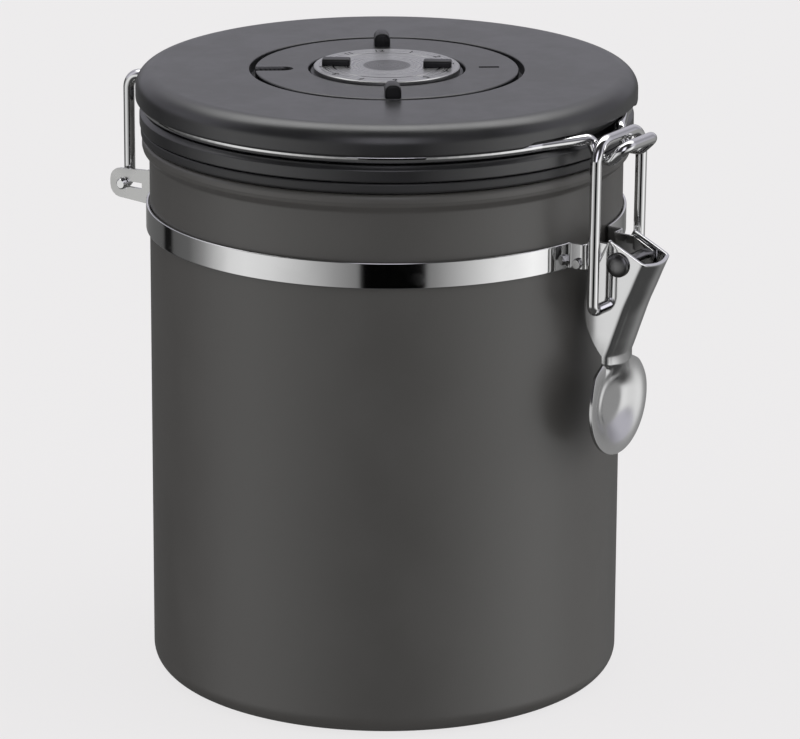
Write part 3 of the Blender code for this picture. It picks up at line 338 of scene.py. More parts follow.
class CanisterSettings(PropertyGroup):
    """All settings of the canister."""
    body: PointerProperty(type=BodySettings, name="Body", description="Steel body")
    band: PointerProperty(type=BandSettings, name="Band", description="Clamp band")
    bracket: PointerProperty(type=BracketSettings, name="Bracket", description="Hinge bracket")
    latch: PointerProperty(type=LatchSettings, name="Latch", description="Lever and link")
    hoop: PointerProperty(type=HoopSettings, name="Hoop", description="Wire hoop on the lid")
    lid: PointerProperty(type=LidSettings, name="Lid", description="Lid shell, gasket and liner")
    dial: PointerProperty(type=DialSettings, name="Dial", description="Date ring and dial")
    looks: PointerProperty(type=LooksSettings, name="Looks", description="Finishes")
    stage: PointerProperty(type=StageSettings, name="Stage", description="Camera, floor and light")


def settings():
    """The canister's settings in this scene."""
    return bpy.context.scene.canister


def body_radius():
    """Radius of the body's wall, below its rim."""
    return RIM_RADIUS - settings().body.rim_step


# Surfaces

def unit(vectors, smallest=1e-12):
    """Vectors of length 1, along the last axis; one shorter than the smallest stays short."""
    vectors = np.asarray(vectors, dtype=float)
    return vectors / np.maximum(np.linalg.norm(vectors, axis=-1, keepdims=True), smallest)


def smoothstep(value):
    """Eased step 3t^2 - 2t^3 of a value held between 0 and 1."""
    held = np.clip(value, 0.0, 1.0)
    return held * held * (3 - 2 * held)


def rounded(points, radii, step=0.00025):
    """Path through points; each inner corner becomes an arc of its radius between its two tangent points.

    An arc's point is centre + (start sin(sweep - a) + end sin(a)) / sin(sweep), for a from 0 to the sweep.
    """
    corners = np.asarray(points, dtype=float)
    path = [corners[:1]]
    for before, corner, after, radius in zip(corners, corners[1:], corners[2:], radii):
        back = unit(before - corner)
        ahead = unit(after - corner)
        half = math.acos(float(np.clip(back @ ahead, -1.0, 1.0))) / 2
        centre = corner + unit(back + ahead) * radius / math.sin(half)
        start = corner + back * radius / math.tan(half) - centre
        end = corner + ahead * radius / math.tan(half) - centre
        sweep = math.pi - 2 * half
        count = int(np.clip(radius * sweep / step, *BEND_STEPS))
        angle = np.linspace(0.0, sweep, count + 1)[:, None]
        path.append(centre + (start * np.sin(sweep - angle) + end * np.sin(angle)) / math.sin(sweep))
    path.append(corners[-1:])
    return np.vstack(path)


def rounded_loop(points, radii):
    """Closed outline through points, with an arc at every corner."""
    return rounded([points[-1], *points, points[0]], radii)[1:-1]


def guarded(path, reach, closed=False):
    """The path with a point near each end of every long straight stretch, so that its shading stays flat."""
    path = np.asarray(path, dtype=float)
    if closed:
        path = np.vstack([path, path[:1]])
    step = np.diff(path, axis=0)
    span = np.linalg.norm(step, axis=1)
    inset = unit(step) * reach
    long = span > 4 * reach
    points = np.stack([path[:-1], path[:-1] + inset, path[1:] - inset], axis=1)
    keep = np.stack([span > PATH_MERGE_DISTANCE, long, long], axis=1)
    kept = points[keep]
    return kept if closed else np.vstack([kept, path[-1:]])


def grid_mesh(name, points, loop_rows=False, loop_columns=False, along=None, solid=True):
    """Mesh of a grid of points: quad (i, j) joins rows i, i + 1 and columns j, j + 1, and loops wrap round.

    The UV map holds the distance along the rows and the share round the columns. A solid's doubles are
    merged, which closes its poles, and its faces are turned outwards.
    """
    rows, columns = points.shape[:2]
    i, j = np.meshgrid(np.arange(rows if loop_rows else rows - 1),
                       np.arange(columns if loop_columns else columns - 1), indexing="ij")
    row = np.stack([i, i + 1, i + 1, i], axis=-1).reshape(-1, 4)
    column = np.stack([j, j, j + 1, j + 1], axis=-1).reshape(-1, 4)
    quads = (row % rows) * columns + column % columns
    mesh = bpy.data.meshes.new(name)
    mesh.from_pydata(points.reshape(-1, 3), [], quads)
    if along is not None:
        spots = np.stack([along[row], column / columns], axis=-1)
        mesh.uv_layers.new(name="along").uv.foreach_set("vector", spots.reshape(-1))
    if solid:
        weld(mesh)
    return mesh


def weld(mesh):
    """Merge doubles and turn the faces outwards."""
    shape = bmesh.new()
    shape.from_mesh(mesh)
    bmesh.ops.remove_doubles(shape, verts=shape.verts, dist=MERGE_DISTANCE)
    bmesh.ops.recalc_face_normals(shape, faces=shape.faces)
    shape.to_mesh(mesh)
    shape.free()


def full_turn(steps):
    """Angles of even steps, once round."""
    return np.linspace(0.0, 2 * math.pi, steps, endpoint=False)


def ring_points(radius, angle, level):
    """Points (r cos v, r sin v, z) of rings about the Z axis."""
    return np.stack([radius * np.cos(angle), radius * np.sin(angle), level], axis=-1)


def turned(name, profile, ring=False, steps=160, change=None, place=None):
    """Surface of revolution (r(u) cos v, r(u) sin v, z(u)) of a profile of radius and level.

    A ring's profile closes on itself. A change gives a new radius and level by radius, level and angle, as on
    a hexagon head. A place is a matrix that sets the piece down.
    """
    profile = np.asarray(profile, dtype=float)
    angle = full_turn(steps)
    radius = np.repeat(profile[:, :1], steps, axis=1)
    level = np.repeat(profile[:, 1:], steps, axis=1)
    if change is not None:
        radius, level = change(radius, level, angle)
    mesh = grid_mesh(name, ring_points(radius, angle, level), loop_rows=ring, loop_columns=True)
    if place is not None:
        mesh.transform(place)
    return mesh


def capped(rows):
    """Rows with the first and the last one repeated, for the closed ends of a sweep."""
    return np.vstack([rows[:1], rows, rows[-1:]])


def swept(name, path, section, across, up, scale, ceiling=None):
    """Closed section carried along a path: path(u) + scale(u) (s(v) across(u) + t(v) up(u)).

    A ceiling gives the highest level by place.
    """
    offset = section[None, :, :1] * across[:, None] + section[None, :, 1:] * up[:, None]
    points = path[:, None] + scale[:, None, None] * offset
    if ceiling is not None:
        points[..., 2] = np.minimum(points[..., 2], ceiling(points))
    along = np.concatenate([[0.0], np.cumsum(np.linalg.norm(np.diff(path, axis=0), axis=1))])
    return grid_mesh(name, points, loop_columns=True, along=along)


def wire(name, path, diameter, sides=28):
    """Round wire along a path that is mirrored across X = 0, with its end faces slightly rounded.

    Each ring's frame comes from a slanted direction that no stretch runs along, mirrored with the path.
    """
    path = guarded(path, reach=diameter / 10)
    radius = diameter / 2
    ease = radius / 4
    ahead = unit(np.gradient(path, axis=0))
    start = path[0] + ahead[0] * ease
    end = path[-1] - ahead[-1] * ease
    line = capped(np.vstack([path[:1], [start], path[1:-1], [end], path[-1:]]))
    scale = np.ones(len(line))
    scale[[0, -1]] = 0.0
    scale[[1, -2]] = 1 - ease / radius
    ahead = capped(capped(ahead))
    slant = np.array((0.7, 0.1, 0.7)) * np.where(line[:, :1] < 0, (-1, 1, 1), (1, 1, 1))
    across = unit(slant - (slant * ahead).sum(axis=1, keepdims=True) * ahead)
    up = np.cross(ahead, across)
    angle = full_turn(sides)
    section = radius * np.stack([np.cos(angle), np.sin(angle)], axis=1)
    return swept(name, line, section, across, up, scale)


def curve_through(at, stations, points):
    """Cubic Hermite curve through points, whose slopes at the stations come from their neighbours."""
    stations = np.asarray(stations)
    points = np.asarray(points)
    slopes = np.gradient(points, stations, axis=0)
    first = np.clip(np.searchsorted(stations, at, side="right") - 1, 0, len(stations) - 2)
    span = np.diff(stations)[first][:, None]
    step = (at[:, None] - stations[first][:, None]) / span
    ends = points[first] * (1 + 2 * step) * (1 - step) ** 2 + points[first + 1] * step ** 2 * (3 - 2 * step)
    pulls = slopes[first] * step * (1 - step) ** 2 + slopes[first + 1] * step ** 2 * (step - 1)
    return ends + span * pulls


def mirrored(half):
    """A whole path from the half on +X, whose first point is on the middle plane."""
    half = np.asarray(half, dtype=float)
    return np.vstack([half[:0:-1] * (-1, 1, 1), half])


def ring_arc(radius, start, end, level, step=math.radians(2.5)):
    """Points of a circle about the body's axis, by angle from the front towards +X."""
    angle = np.linspace(start, end, max(3, int(abs(end - start) / step) + 1))
    return np.stack([radius * np.sin(angle), -radius * np.cos(angle), np.full(len(angle), level)], axis=1)


def dome(radius, height, foot, edge, steps=14):
    """Rivet head's profile from its pole down to its foot: a quarter ellipse over a short upright edge."""
    angle = np.linspace(math.pi / 2, 0.0, steps)
    crown = np.stack([radius * np.cos(angle), foot + edge + (height - edge) * np.sin(angle)], axis=1)
    return np.vstack([crown, [(radius, foot)]])


def add_piece(name, mesh, body, slot, *replaced, finish=None, crease=math.radians(38)):
    """One piece of the object: smooth shaded, finished, and riding on a CAD body in place of its nodes."""
    mesh.shade_smooth()
    mesh.set_sharp_from_angle(angle=crease)
    mesh.materials.append(finished(finish or slot))
    piece = bpy.data.objects.new(name, mesh)
    bpy.context.scene.collection.objects.link(piece)
    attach(piece, body)
    if replaced:
        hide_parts(*replaced)
    return piece


def vectors_of(items, name):
    """A vector of every item of a mesh, such as a face's center or normal, or a point's co."""
    values = np.zeros(len(items) * 3)
    items.foreach_get(name, values)
    return values.reshape(-1, 3)


def cad_points(node):
    """Every point of a CAD node's mesh."""
    return vectors_of(frame["nodes"][node].data.vertices, "co")


def add_bevel(piece, width, segments=2):
    """Rounded edges on a piece."""
    bevel = piece.modifiers.new("Edges", 'BEVEL')
    bevel.width = width
    bevel.segments = segments
    bevel.limit_method = 'ANGLE'
    bevel.angle_limit = math.radians(40)
    bevel.harden_normals = False


# Shader nodes

def feed(tree, socket, value):
    """Link a socket to another one, or set its value."""
    if isinstance(value, bpy.types.NodeSocket):
        tree.links.new(value, socket)
    else:
        socket.default_value = value


def add_node(tree, kind, inputs=None, **options):
    """A node with its options set and its inputs set or linked."""
    made = tree.nodes.new(kind)
    for name, value in options.items():
        setattr(made, name, value)
    for name, value in (inputs or {}).items():
        feed(tree, made.inputs[name], value)
    return made


def math_node(tree, operation, *values):
    """Result of an operation on two or three values."""
    return add_node(tree, 'ShaderNodeMath', dict(enumerate(values)), operation=operation).outputs[0]


def vector_node(tree, operation, *vectors, output="Vector"):
    """Result of an operation on one or two vectors."""
    made = add_node(tree, 'ShaderNodeVectorMath', dict(enumerate(vectors)), operation=operation)
    return made.outputs[output]


def noise(tree, place, scale, **more):
    """Soft noise by place."""
    inputs = {"Vector": place, "Scale": scale, **more}
    return add_node(tree, 'ShaderNodeTexNoise', inputs).outputs["Fac"]


def remap(tree, value, old, new, smooth=False):
    """A value carried from one range to another, held at the ends."""
    names = ("From Min", "From Max", "To Min", "To Max")
    kind = 'SMOOTHSTEP' if smooth else 'LINEAR'
    return add_node(tree, 'ShaderNodeMapRange', {"Value": value, **dict(zip(names, old + new))},
                    interpolation_type=kind).outputs["Result"]


def mask(tree, value, span, smooth=True):
    """A mask that goes from 0 to 1 as a value goes from one end of a span to the other."""
    return remap(tree, value, span, (0.0, 1.0), smooth)


def mix_colour(tree, factor, first, second):
    """Colour between two colours by a factor."""
    return add_node(tree, 'ShaderNodeMix', {0: factor, 6: first, 7: second}, data_type='RGBA').outputs[2]


def new_group(name, inputs, outputs):
    """An empty shader node group with a Vector and other named sockets, and its input and output nodes."""
    tree = bpy.data.node_groups.new(name, 'ShaderNodeTree')
    for label, kind, default in (("Vector", 'NodeSocketVector', (0, 0, 0)), *inputs):
        socket = tree.interface.new_socket(label, in_out='INPUT', socket_type=kind)
        socket.default_value = default
    for label in outputs:
        tree.interface.new_socket(label, in_out='OUTPUT', socket_type='NodeSocketFloat')
    return tree, tree.nodes.new('NodeGroupInput').outputs, tree.nodes.new('NodeGroupOutput').inputs


def build_grain():
    """Fine grain for a bump, and broad mottling from 0 to 1."""
    inputs = (("Fine", 'NodeSocketFloat', 2000.0), ("Broad", 'NodeSocketFloat', 60.0))
    tree, given, result = new_group("grain", inputs, ("Height", "Mottle"))
    fine = noise(tree, given["Vector"], given["Fine"], Detail=3.0)
    broad = noise(tree, given["Vector"], given["Broad"], Detail=4.0, Roughness=0.6)
    feed(tree, result["Height"], fine)
    feed(tree, result["Mottle"], mask(tree, broad, (0.3, 0.7)))
    return tree


def build_handling():
    """Soft smears from handling and thin hairline scratches, each a mask from 0 to 1."""
    inputs = (("Smear Scale", 'NodeSocketFloat', 40.0), ("Hair Scale", 'NodeSocketFloat', 300.0))
    tree, given, result = new_group("handling", inputs, ("Smear", "Hairline"))
    smear = noise(tree, given["Vector"], given["Smear Scale"], Detail=3.0, Distortion=1.2)
    stretch = add_node(tree, 'ShaderNodeMapping', {"Vector": given["Vector"], "Rotation": (0.4, 0.7, 0.5),
                                                   "Scale": (1.0, 0.04, 1.0)})
    hair = noise(tree, stretch.outputs[0], given["Hair Scale"], Detail=2.0)
    feed(tree, result["Smear"], mask(tree, smear, (0.42, 0.72)))
    feed(tree, result["Hairline"], mask(tree, hair, (0.62, 0.70)))
    return tree


def build_brushing():
    """Fine parallel lines across one axis: noise that is stretched along the brushing."""
    inputs = (("Stretch", 'NodeSocketVector', (1.0, 0.02, 1.0)), ("Scale", 'NodeSocketFloat', 3000.0))
    tree, given, result = new_group("brushing", inputs, ("Lines",))
    scaled = vector_node(tree, 'MULTIPLY', given["Vector"], given["Stretch"])
    lines = noise(tree, scaled, given["Scale"], Detail=2.0)
    feed(tree, result["Lines"], mask(tree, lines, (0.3, 0.7), smooth=False))
    return tree


GROUPS = {"grain": build_grain, "handling": build_handling, "brushing": build_brushing}


def use_group(tree, name, **values):
    """A shared effect placed in a material with its own values."""
    made = tree.nodes.new('ShaderNodeGroup')
    made.node_tree = bpy.data.node_groups.get(name) or GROUPS[name]()
    for label, value in values.items():
        feed(tree, made.inputs[label], value)
    return made.outputs


def object_place(tree):
    """Object coordinates."""
    return add_node(tree, 'ShaderNodeTexCoord').outputs["Object"]


def finish_with(tree, shader, tone, rough, metallic, gloss=None):
    """Feed a finish's colour, roughness, metal and gloss into its shader."""
    feed(tree, shader.inputs["Base Color"], tone)
    feed(tree, shader.inputs["Roughness"], rough)
    feed(tree, shader.inputs["Metallic"], metallic)
    if gloss is not None:
        feed(tree, shader.inputs["Specular IOR Level"], gloss)


def bump(tree, shader, height, strength, distance):
    """Bump on the shader's normal."""
    made = add_node(tree, 'ShaderNodeBump', {"Height": height, "Strength": strength, "Distance": distance})
    feed(tree, shader.inputs["Normal"], made.outputs["Normal"])


def grey(level):
    """A grey of that level, with alpha."""
    return (level, level, level, 1.0)


def grey_ramp(tree, place, stops):
    """Brightness by a bearing's share of the full turn, from stops of degrees and level."""
    made = add_node(tree, 'ShaderNodeValToRGB', {"Fac": place})
    ramp = made.color_ramp
    while len(ramp.elements) < len(stops):
        ramp.elements.new(0.5)
    for element, (degrees, level) in zip(ramp.elements, stops):
        element.position = (degrees + 180) / 360
        element.color = grey(level)
    return made.outputs["Color"]


def shaded(base, factor):
    """A colour times a factor, with alpha."""
    return (*(min(1.0, part * factor) for part in base), 1.0)


def paint_mottled(tree, shader, base, rough, gloss, fine, broad, spread, height, smoother=0.03, rougher=0.04):
    """Matte finish: mottled colour, uneven roughness and a fine grain in the bump."""
    grain = use_group(tree, "grain", Vector=object_place(tree), Fine=fine, Broad=broad)
    tone = mix_colour(tree, grain["Mottle"], shaded(base, 1 - spread), shaded(base, 1 + spread))
    uneven = remap(tree, grain["Mottle"], (0.0, 1.0), (rough - smoother, rough + rougher))
    finish_with(tree, shader, tone, uneven, metallic=0.0, gloss=gloss)
    bump(tree, shader, grain["Height"], strength=0.25, distance=height)


def paint_coated_steel(tree, shader):
    """Powder coat: matte, with a fine orange peel."""
    looks = settings().looks
    paint_mottled(tree, shader, looks.coat, looks.coat_rough, gloss=0.75, fine=1500.0, broad=45.0,
                  spread=0.04, height=0.00006)


def paint_lid_plastic(tree, shader):
    """Moulded plastic with a fine eroded texture."""
    looks = settings().looks
    paint_mottled(tree, shader, looks.lid, looks.lid_rough, gloss=1.0, fine=3200.0, broad=70.0,
                  spread=0.06, height=0.00004)


def paint_black_plastic(tree, shader):
    """Smooth black plastic."""
    paint_mottled(tree, shader, settings().looks.grip, rough=0.30, gloss=0.22, fine=2500.0, broad=120.0,
                  spread=0.08, height=0.00002)


def paint_silicone(tree, shader):
    """Soft silicone, a little mottled."""
    paint_mottled(tree, shader, settings().looks.gasket, rough=0.44, gloss=0.7, fine=1800.0, broad=90.0,
                  spread=0.10, height=0.00003)


def paint_ink(tree, shader):
    """Printed marks, slightly uneven."""
    paint_mottled(tree, shader, settings().looks.ink, rough=0.70, gloss=0.0, fine=4000.0, broad=600.0,
                  spread=0.15, height=0.00001)


def paint_metal(tree, shader, base, rough, place, smear_rough, smear_tone=0.96, hair_rough=0.05):
    """Bare metal: smears and hairlines lift the roughness, and smears dull the colour a little."""
    marks = use_group(tree, "handling", Vector=place)
    tone = mix_colour(tree, marks["Smear"], shaded(base, 1.0), shaded(base, smear_tone))
    smeared = remap(tree, marks["Smear"], (0.0, 1.0), (rough, rough + smear_rough))
    worn = math_node(tree, 'MULTIPLY_ADD', marks["Hairline"], hair_rough, smeared)
    finish_with(tree, shader, tone, worn, metallic=1.0)


def paint_polished_steel(tree, shader):
    """Polished sheet: mirror-like, with a faint unevenness from rolling."""
    looks = settings().looks
    place = object_place(tree)
    paint_metal(tree, shader, looks.steel, looks.steel_rough, place, smear_rough=0.05)
    waves = use_group(tree, "grain", Vector=place, Fine=160.0, Broad=30.0)
    bump(tree, shader, waves["Height"], strength=0.10, distance=0.00003)


def paint_wire_steel(tree, shader):
    """Polished wire with faint drawing lines along its length."""
    looks = settings().looks
    paint_metal(tree, shader, looks.steel, looks.steel_rough, object_place(tree), smear_rough=0.06)
    along = add_node(tree, 'ShaderNodeUVMap', uv_map="along").outputs["UV"]
    lines = use_group(tree, "brushing", Vector=along, Stretch=(3.0, 1.0, 1.0), Scale=40.0)
    bump(tree, shader, lines["Lines"], strength=0.10, distance=0.00001)


def paint_lever_steel(tree, shader, ear_tone=0.98, pad_tone=0.80, fade_above=0.006, fade_below=0.002):
    """Lever: polished ears that turn satin on the dished pad, over a fade about the pad's top."""
    looks = settings().looks
    latch = settings().latch
    place = object_place(tree)
    smears = use_group(tree, "handling", Vector=place)["Smear"]
    height = add_node(tree, 'ShaderNodeSeparateXYZ', {0: place}).outputs["Z"]
    pad_top = RIVET[2] - latch.pad_drop + latch.pad_radius
    satin = mask(tree, height, (pad_top + fade_above, pad_top - fade_below))
    tone = mix_colour(tree, satin, shaded(looks.steel, ear_tone), shaded(looks.steel, pad_tone))
    ear_rough = looks.steel_rough + 0.03
    pad_rough = looks.satin_rough - 0.07
    rough = remap(tree, satin, (0.0, 1.0), (ear_rough, pad_rough))
    smear_rough = 0.05
    worn = math_node(tree, 'MULTIPLY_ADD', smears, smear_rough, rough)
    finish_with(tree, shader, tone, worn, metallic=1.0)
    grain = use_group(tree, "grain", Vector=place, Fine=2600.0, Broad=60.0)
    bump(tree, shader, math_node(tree, 'MULTIPLY', grain["Height"], satin), strength=0.18, distance=0.00003)


def paint_satin_steel(tree, shader):
    """Satin steel with fine lines across the height."""
    looks = settings().looks
    place = object_place(tree)
    paint_metal(tree, shader, looks.satin, looks.satin_rough, place, smear_rough=0.08)
    lines = use_group(tree, "brushing", Vector=place, Stretch=(0.05, 0.05, 1.0), Scale=5000.0)
    bump(tree, shader, lines["Lines"], strength=0.15, distance=0.00001)


def paint_dark_steel(tree, shader):
    """Dark steel of the rivet, a little uneven."""
    place = object_place(tree)
    paint_metal(tree, shader, settings().looks.rivet, rough=0.28, place=place, smear_rough=0.10)
    grain = use_group(tree, "grain", Vector=place, Fine=1800.0, Broad=200.0)
    bump(tree, shader, grain["Height"], strength=0.20, distance=0.00003)


def paint_inside_steel(tree, shader):
    """Bare steel inside the body, with fine turning lines round it."""
    place = object_place(tree)
    paint_metal(tree, shader, settings().looks.satin, rough=0.30, place=place, smear_rough=0.06)
    lines = use_group(tree, "brushing", Vector=place, Stretch=(0.02, 0.02, 1.0), Scale=2500.0)
    bump(tree, shader, lines["Lines"], strength=0.25, distance=0.00001)


def paint_dial_metal(tree, shader, furrow_tone=0.86, ridge_tone=1.12, centre_tone=0.36, centre_fade=0.0002):
    """Spun aluminium: fine rings about the axis, and a plain darker centre."""
    looks = settings().looks
    centre_radius = settings().dial.centre_radius
    flat = vector_node(tree, 'MULTIPLY', object_place(tree), (1.0, 1.0, 0.0))
    radius = vector_node(tree, 'LENGTH', flat, output="Value")
    rings = add_node(tree, 'ShaderNodeTexNoise', {"W": radius, "Scale": 1600.0, "Detail": 1.5},
                     noise_dimensions='1D').outputs["Fac"]
    centre = mask(tree, radius, (centre_radius + centre_fade, centre_radius - centre_fade), smooth=False)
    spun = mix_colour(tree, rings, shaded(looks.dial, furrow_tone), shaded(looks.dial, ridge_tone))
    tone = mix_colour(tree, centre, spun, shaded(looks.dial, centre_tone))
    furrow_rough = looks.dial_rough - 0.06
    ridge_rough = looks.dial_rough + 0.08
    rough = remap(tree, rings, (0.3, 0.7), (furrow_rough, ridge_rough))
    finish_with(tree, shader, tone, rough, metallic=1.0)
    bump(tree, shader, rings, strength=0.90, distance=0.00009)


PAINTERS = {
    "coated_steel": paint_coated_steel,
    "lid_plastic": paint_lid_plastic,
    "black_plastic": paint_black_plastic,
    "silicone": paint_silicone,
    "ink": paint_ink,
    "polished_steel": paint_polished_steel,
    "wire_steel": paint_wire_steel,
    "lever_steel": paint_lever_steel,
    "satin_steel": paint_satin_steel,
    "dark_steel": paint_dark_steel,
    "inside_steel": paint_inside_steel,
    "dial_metal": paint_dial_metal,
}


def new_material(name):
    """A new material, its node tree and its shader."""
    made = bpy.data.materials.new(name)
    made.use_nodes = True
    return made, made.node_tree, made.node_tree.nodes["Principled BSDF"]


def finished(name):
    """The finish of that name, painted the first time it is asked for."""
    label = "finish_" + name
    made = bpy.data.materials.get(label)
    if made is None:
        made, tree, shader = new_material(label)
        PAINTERS[name](tree, shader)
    return made


# Pieces

class CANISTER_OT_body(Operator):
    """Steel body with its rounded base, flared neck and rolled rim"""
    bl_idname = "canister.body"
    bl_label = "Body"

    def execute(self, context):
        """Turn the body's profile from the floor inside, over the rim and down to the base."""
        size = settings().body
        outer = body_radius()
        inner = outer - size.wall
        mouth = inner + size.rim_step / 4
        bead_low = BODY_TOP - size.rim_bead
        bead_round = size.rim_bead / 2.4
        drop = np.linspace(0.0, 1.0, num=24)
        neck = RIM_RADIUS - bead_round / 6
        flare = np.stack([neck - (neck - outer) * smoothstep(drop), bead_low - size.rim_flare * drop], axis=1)
        lines = [(0.0, size.wall), (inner, size.wall), (inner, bead_low - size.rim_flare),
                 (mouth, bead_low), (mouth, BODY_TOP), (RIM_RADIUS, BODY_TOP),
                 (RIM_RADIUS, bead_low + bead_round / 2), flare[0]]
        radii = (size.base_round - size.wall, size.mouth_round, size.mouth_round, bead_round / 2, bead_round,
                 bead_round / 2)
        upper = rounded(lines, radii)
        lower = rounded([flare[-1], (outer, 0.0), (0.0, 0.0)], (size.base_round,))
        profile = guarded(np.vstack([upper, flare[1:-1], lower]), reach=0.0004)
        mesh = turned("body_shell", profile, steps=240)
        add_piece("body_shell", mesh, "canister", "coated_steel", "canister_body")
        mesh.materials.append(finished("inside_steel"))
        self.line_inside(mesh, (inner + outer) / 2)
        return {'FINISHED'}

    @staticmethod
    def line_inside(mesh, middle, mouth_room=0.0004, upward=0.5):
        """Give the bare steel to the faces that turn in or up, within mid-wall and room for the mouth."""
        centre = vectors_of(mesh.polygons, "center")
        normal = vectors_of(mesh.polygons, "normal")
        inward = (centre[:, :2] * normal[:, :2]).sum(axis=1) < 0
        within = np.linalg.norm(centre[:, :2], axis=1) < middle + mouth_room
        inside = within & (inward | (normal[:, 2] > upward))
        mesh.polygons.foreach_set("material_index", inside.astype(np.int32))


class CANISTER_OT_band(Operator):
    """Clamp band with its flanges, the bolt and nut, and the lever's rivet"""
    bl_idname = "canister.band"
    bl_label = "Clamp band"

    def execute(self, context):
        """Sweep the band's section along its path in plan, then turn the fasteners."""
        size = settings().band
        path = self.band_path(size)
        ahead = unit(np.gradient(path, axis=0))
        up = np.tile((0.0, 0.0, 1.0), (len(path), 1))
        across = np.cross(ahead, up)
        half_sheet = size.sheet / 2
        half_height = (BAND_TOP - BAND_LOW) / 2
        corners = [(-half_sheet, -half_height), (half_sheet, -half_height), (half_sheet, half_height),
                   (-half_sheet, half_height)]
        section = guarded(rounded_loop(corners, (size.edge,) * 4), reach=0.0002, closed=True)
        path = capped(path)
        scale = np.ones(len(path))
        scale[[0, -1]] = 0.0
        mesh = swept("band_strip", path, section, capped(across), capped(up), scale, self.slope(size))
        add_piece("band_strip", mesh, "canister", "polished_steel", "clamp_band")
        self.add_bolt(size)
        self.add_rivet(size)
        return {'FINISHED'}

    @staticmethod
    def band_path(size):
        """Plan path: rivet flange, jog, bolt flange, right round the body and back, at mid-sheet."""
        middle = BAND_RADIUS - size.sheet / 2
        jog = body_radius() + size.flange_jog
        leave = math.asin(size.flange_out / middle)
        past = leave + 2 * size.flange_bend / middle
        foot = middle * math.cos(leave)
        ends = [(size.flange_in, RIVET[1] - size.flange_end), (size.flange_in, -jog), (size.flange_out, -jog),
                (size.flange_out, -foot), (middle * math.sin(past), -middle * math.cos(past))]
        bent = guarded(rounded(ends, (size.flange_bend,) * 3, step=0.00012), reach=0.0002)
        bent = np.insert(bent, 2, (size.flange_in, RIVET[1] + size.flange_slope), axis=0)
        bent = np.column_stack([bent, np.full(len(bent), BAND_MIDDLE)])
        half = np.vstack([bent, ring_arc(middle, past, math.pi, BAND_MIDDLE, step=math.radians(1.5))[1:]])
        return np.vstack([half, half[-2::-1] * (-1, 1, 1)])

    @staticmethod
    def slope(size):
        """Highest level by place: the band's top, which slopes down to the tip of the rivet flange."""
        start = RIVET[1] + size.flange_slope
        tip = RIVET[1] - size.flange_end
        fall = (BAND_TOP - RIVET[2] - size.flange_tip) / (start - tip)
        return lambda points: BAND_TOP - fall * np.maximum(start - points[..., 1], 0.0)

    @staticmethod
    def add_bolt(size):
        """Hexagon head and nut: turned profiles held under the hexagon's radius a / cos(v - v0)."""
        seat = size.flange_out + size.sheet / 2
        flat = size.bolt_head * math.cos(math.pi / 6)

        def hexagon(radius, level, angle):
            """Radius held under the hexagon's."""
            off_flat = (angle + math.pi / 6) % (math.pi / 3) - math.pi / 6
            return np.minimum(radius, flat / np.cos(off_flat)), level

        corner = size.bolt_height / 4
        face = 0.92 * flat
        head = [(0.0, 0.0), (size.bolt_head, 0.0), (size.bolt_head, size.bolt_height - corner),
                (face, size.bolt_height), (0.0, size.bolt_height)]
        shank = size.bolt_radius
        hole = 1.15 * shank
        point = 0.8 * shank
        tip = size.bolt_height + shank / 2
        nut = head[:4] + [(hole, size.bolt_height), (shank, size.bolt_height - corner / 2),
                          (shank, tip - corner / 3), (point, tip), (0.0, tip)]
        fasteners = (("bolt_head", "band_bolt", -1, head), ("bolt_nut", "band_nut", 1, nut))
        for name, node, side, profile in fasteners:
            centre = (side * seat, -body_radius() - size.bolt_out, BAND_MIDDLE - size.bolt_drop)
            place = Matrix.Translation(centre) @ Matrix.Rotation(side * math.pi / 2, 4, 'Y')
            mesh = turned(name, guarded(profile, reach=0.0001), steps=72, change=hexagon, place=place)
            add_piece(name, mesh, "canister", "satin_steel", node, crease=math.radians(28))

    @staticmethod
    def add_rivet(size):
        """Lever rivet: two low domes joined by a shank."""
        latch = settings().latch
        ear_gap = 0.0001
        foot = latch.ear_half + latch.sheet / 2 + ear_gap
        shank = size.rivet_head / HEAD_OVER_SHANK
        head = dome(size.rivet_head, size.rivet_dome, foot, edge=0.0004)
        profile = np.vstack([head, [(shank, foot), (shank, -foot)], head[::-1] * (1, -1)])
        place = Matrix.Translation(Vector(RIVET)) @ Matrix.Rotation(math.pi / 2, 4, 'Y')
        mesh = turned("rivet_lever", guarded(profile, reach=0.0001), steps=64, place=place)
        add_piece("rivet_lever", mesh, "canister", "dark_steel", "lever_rivet")


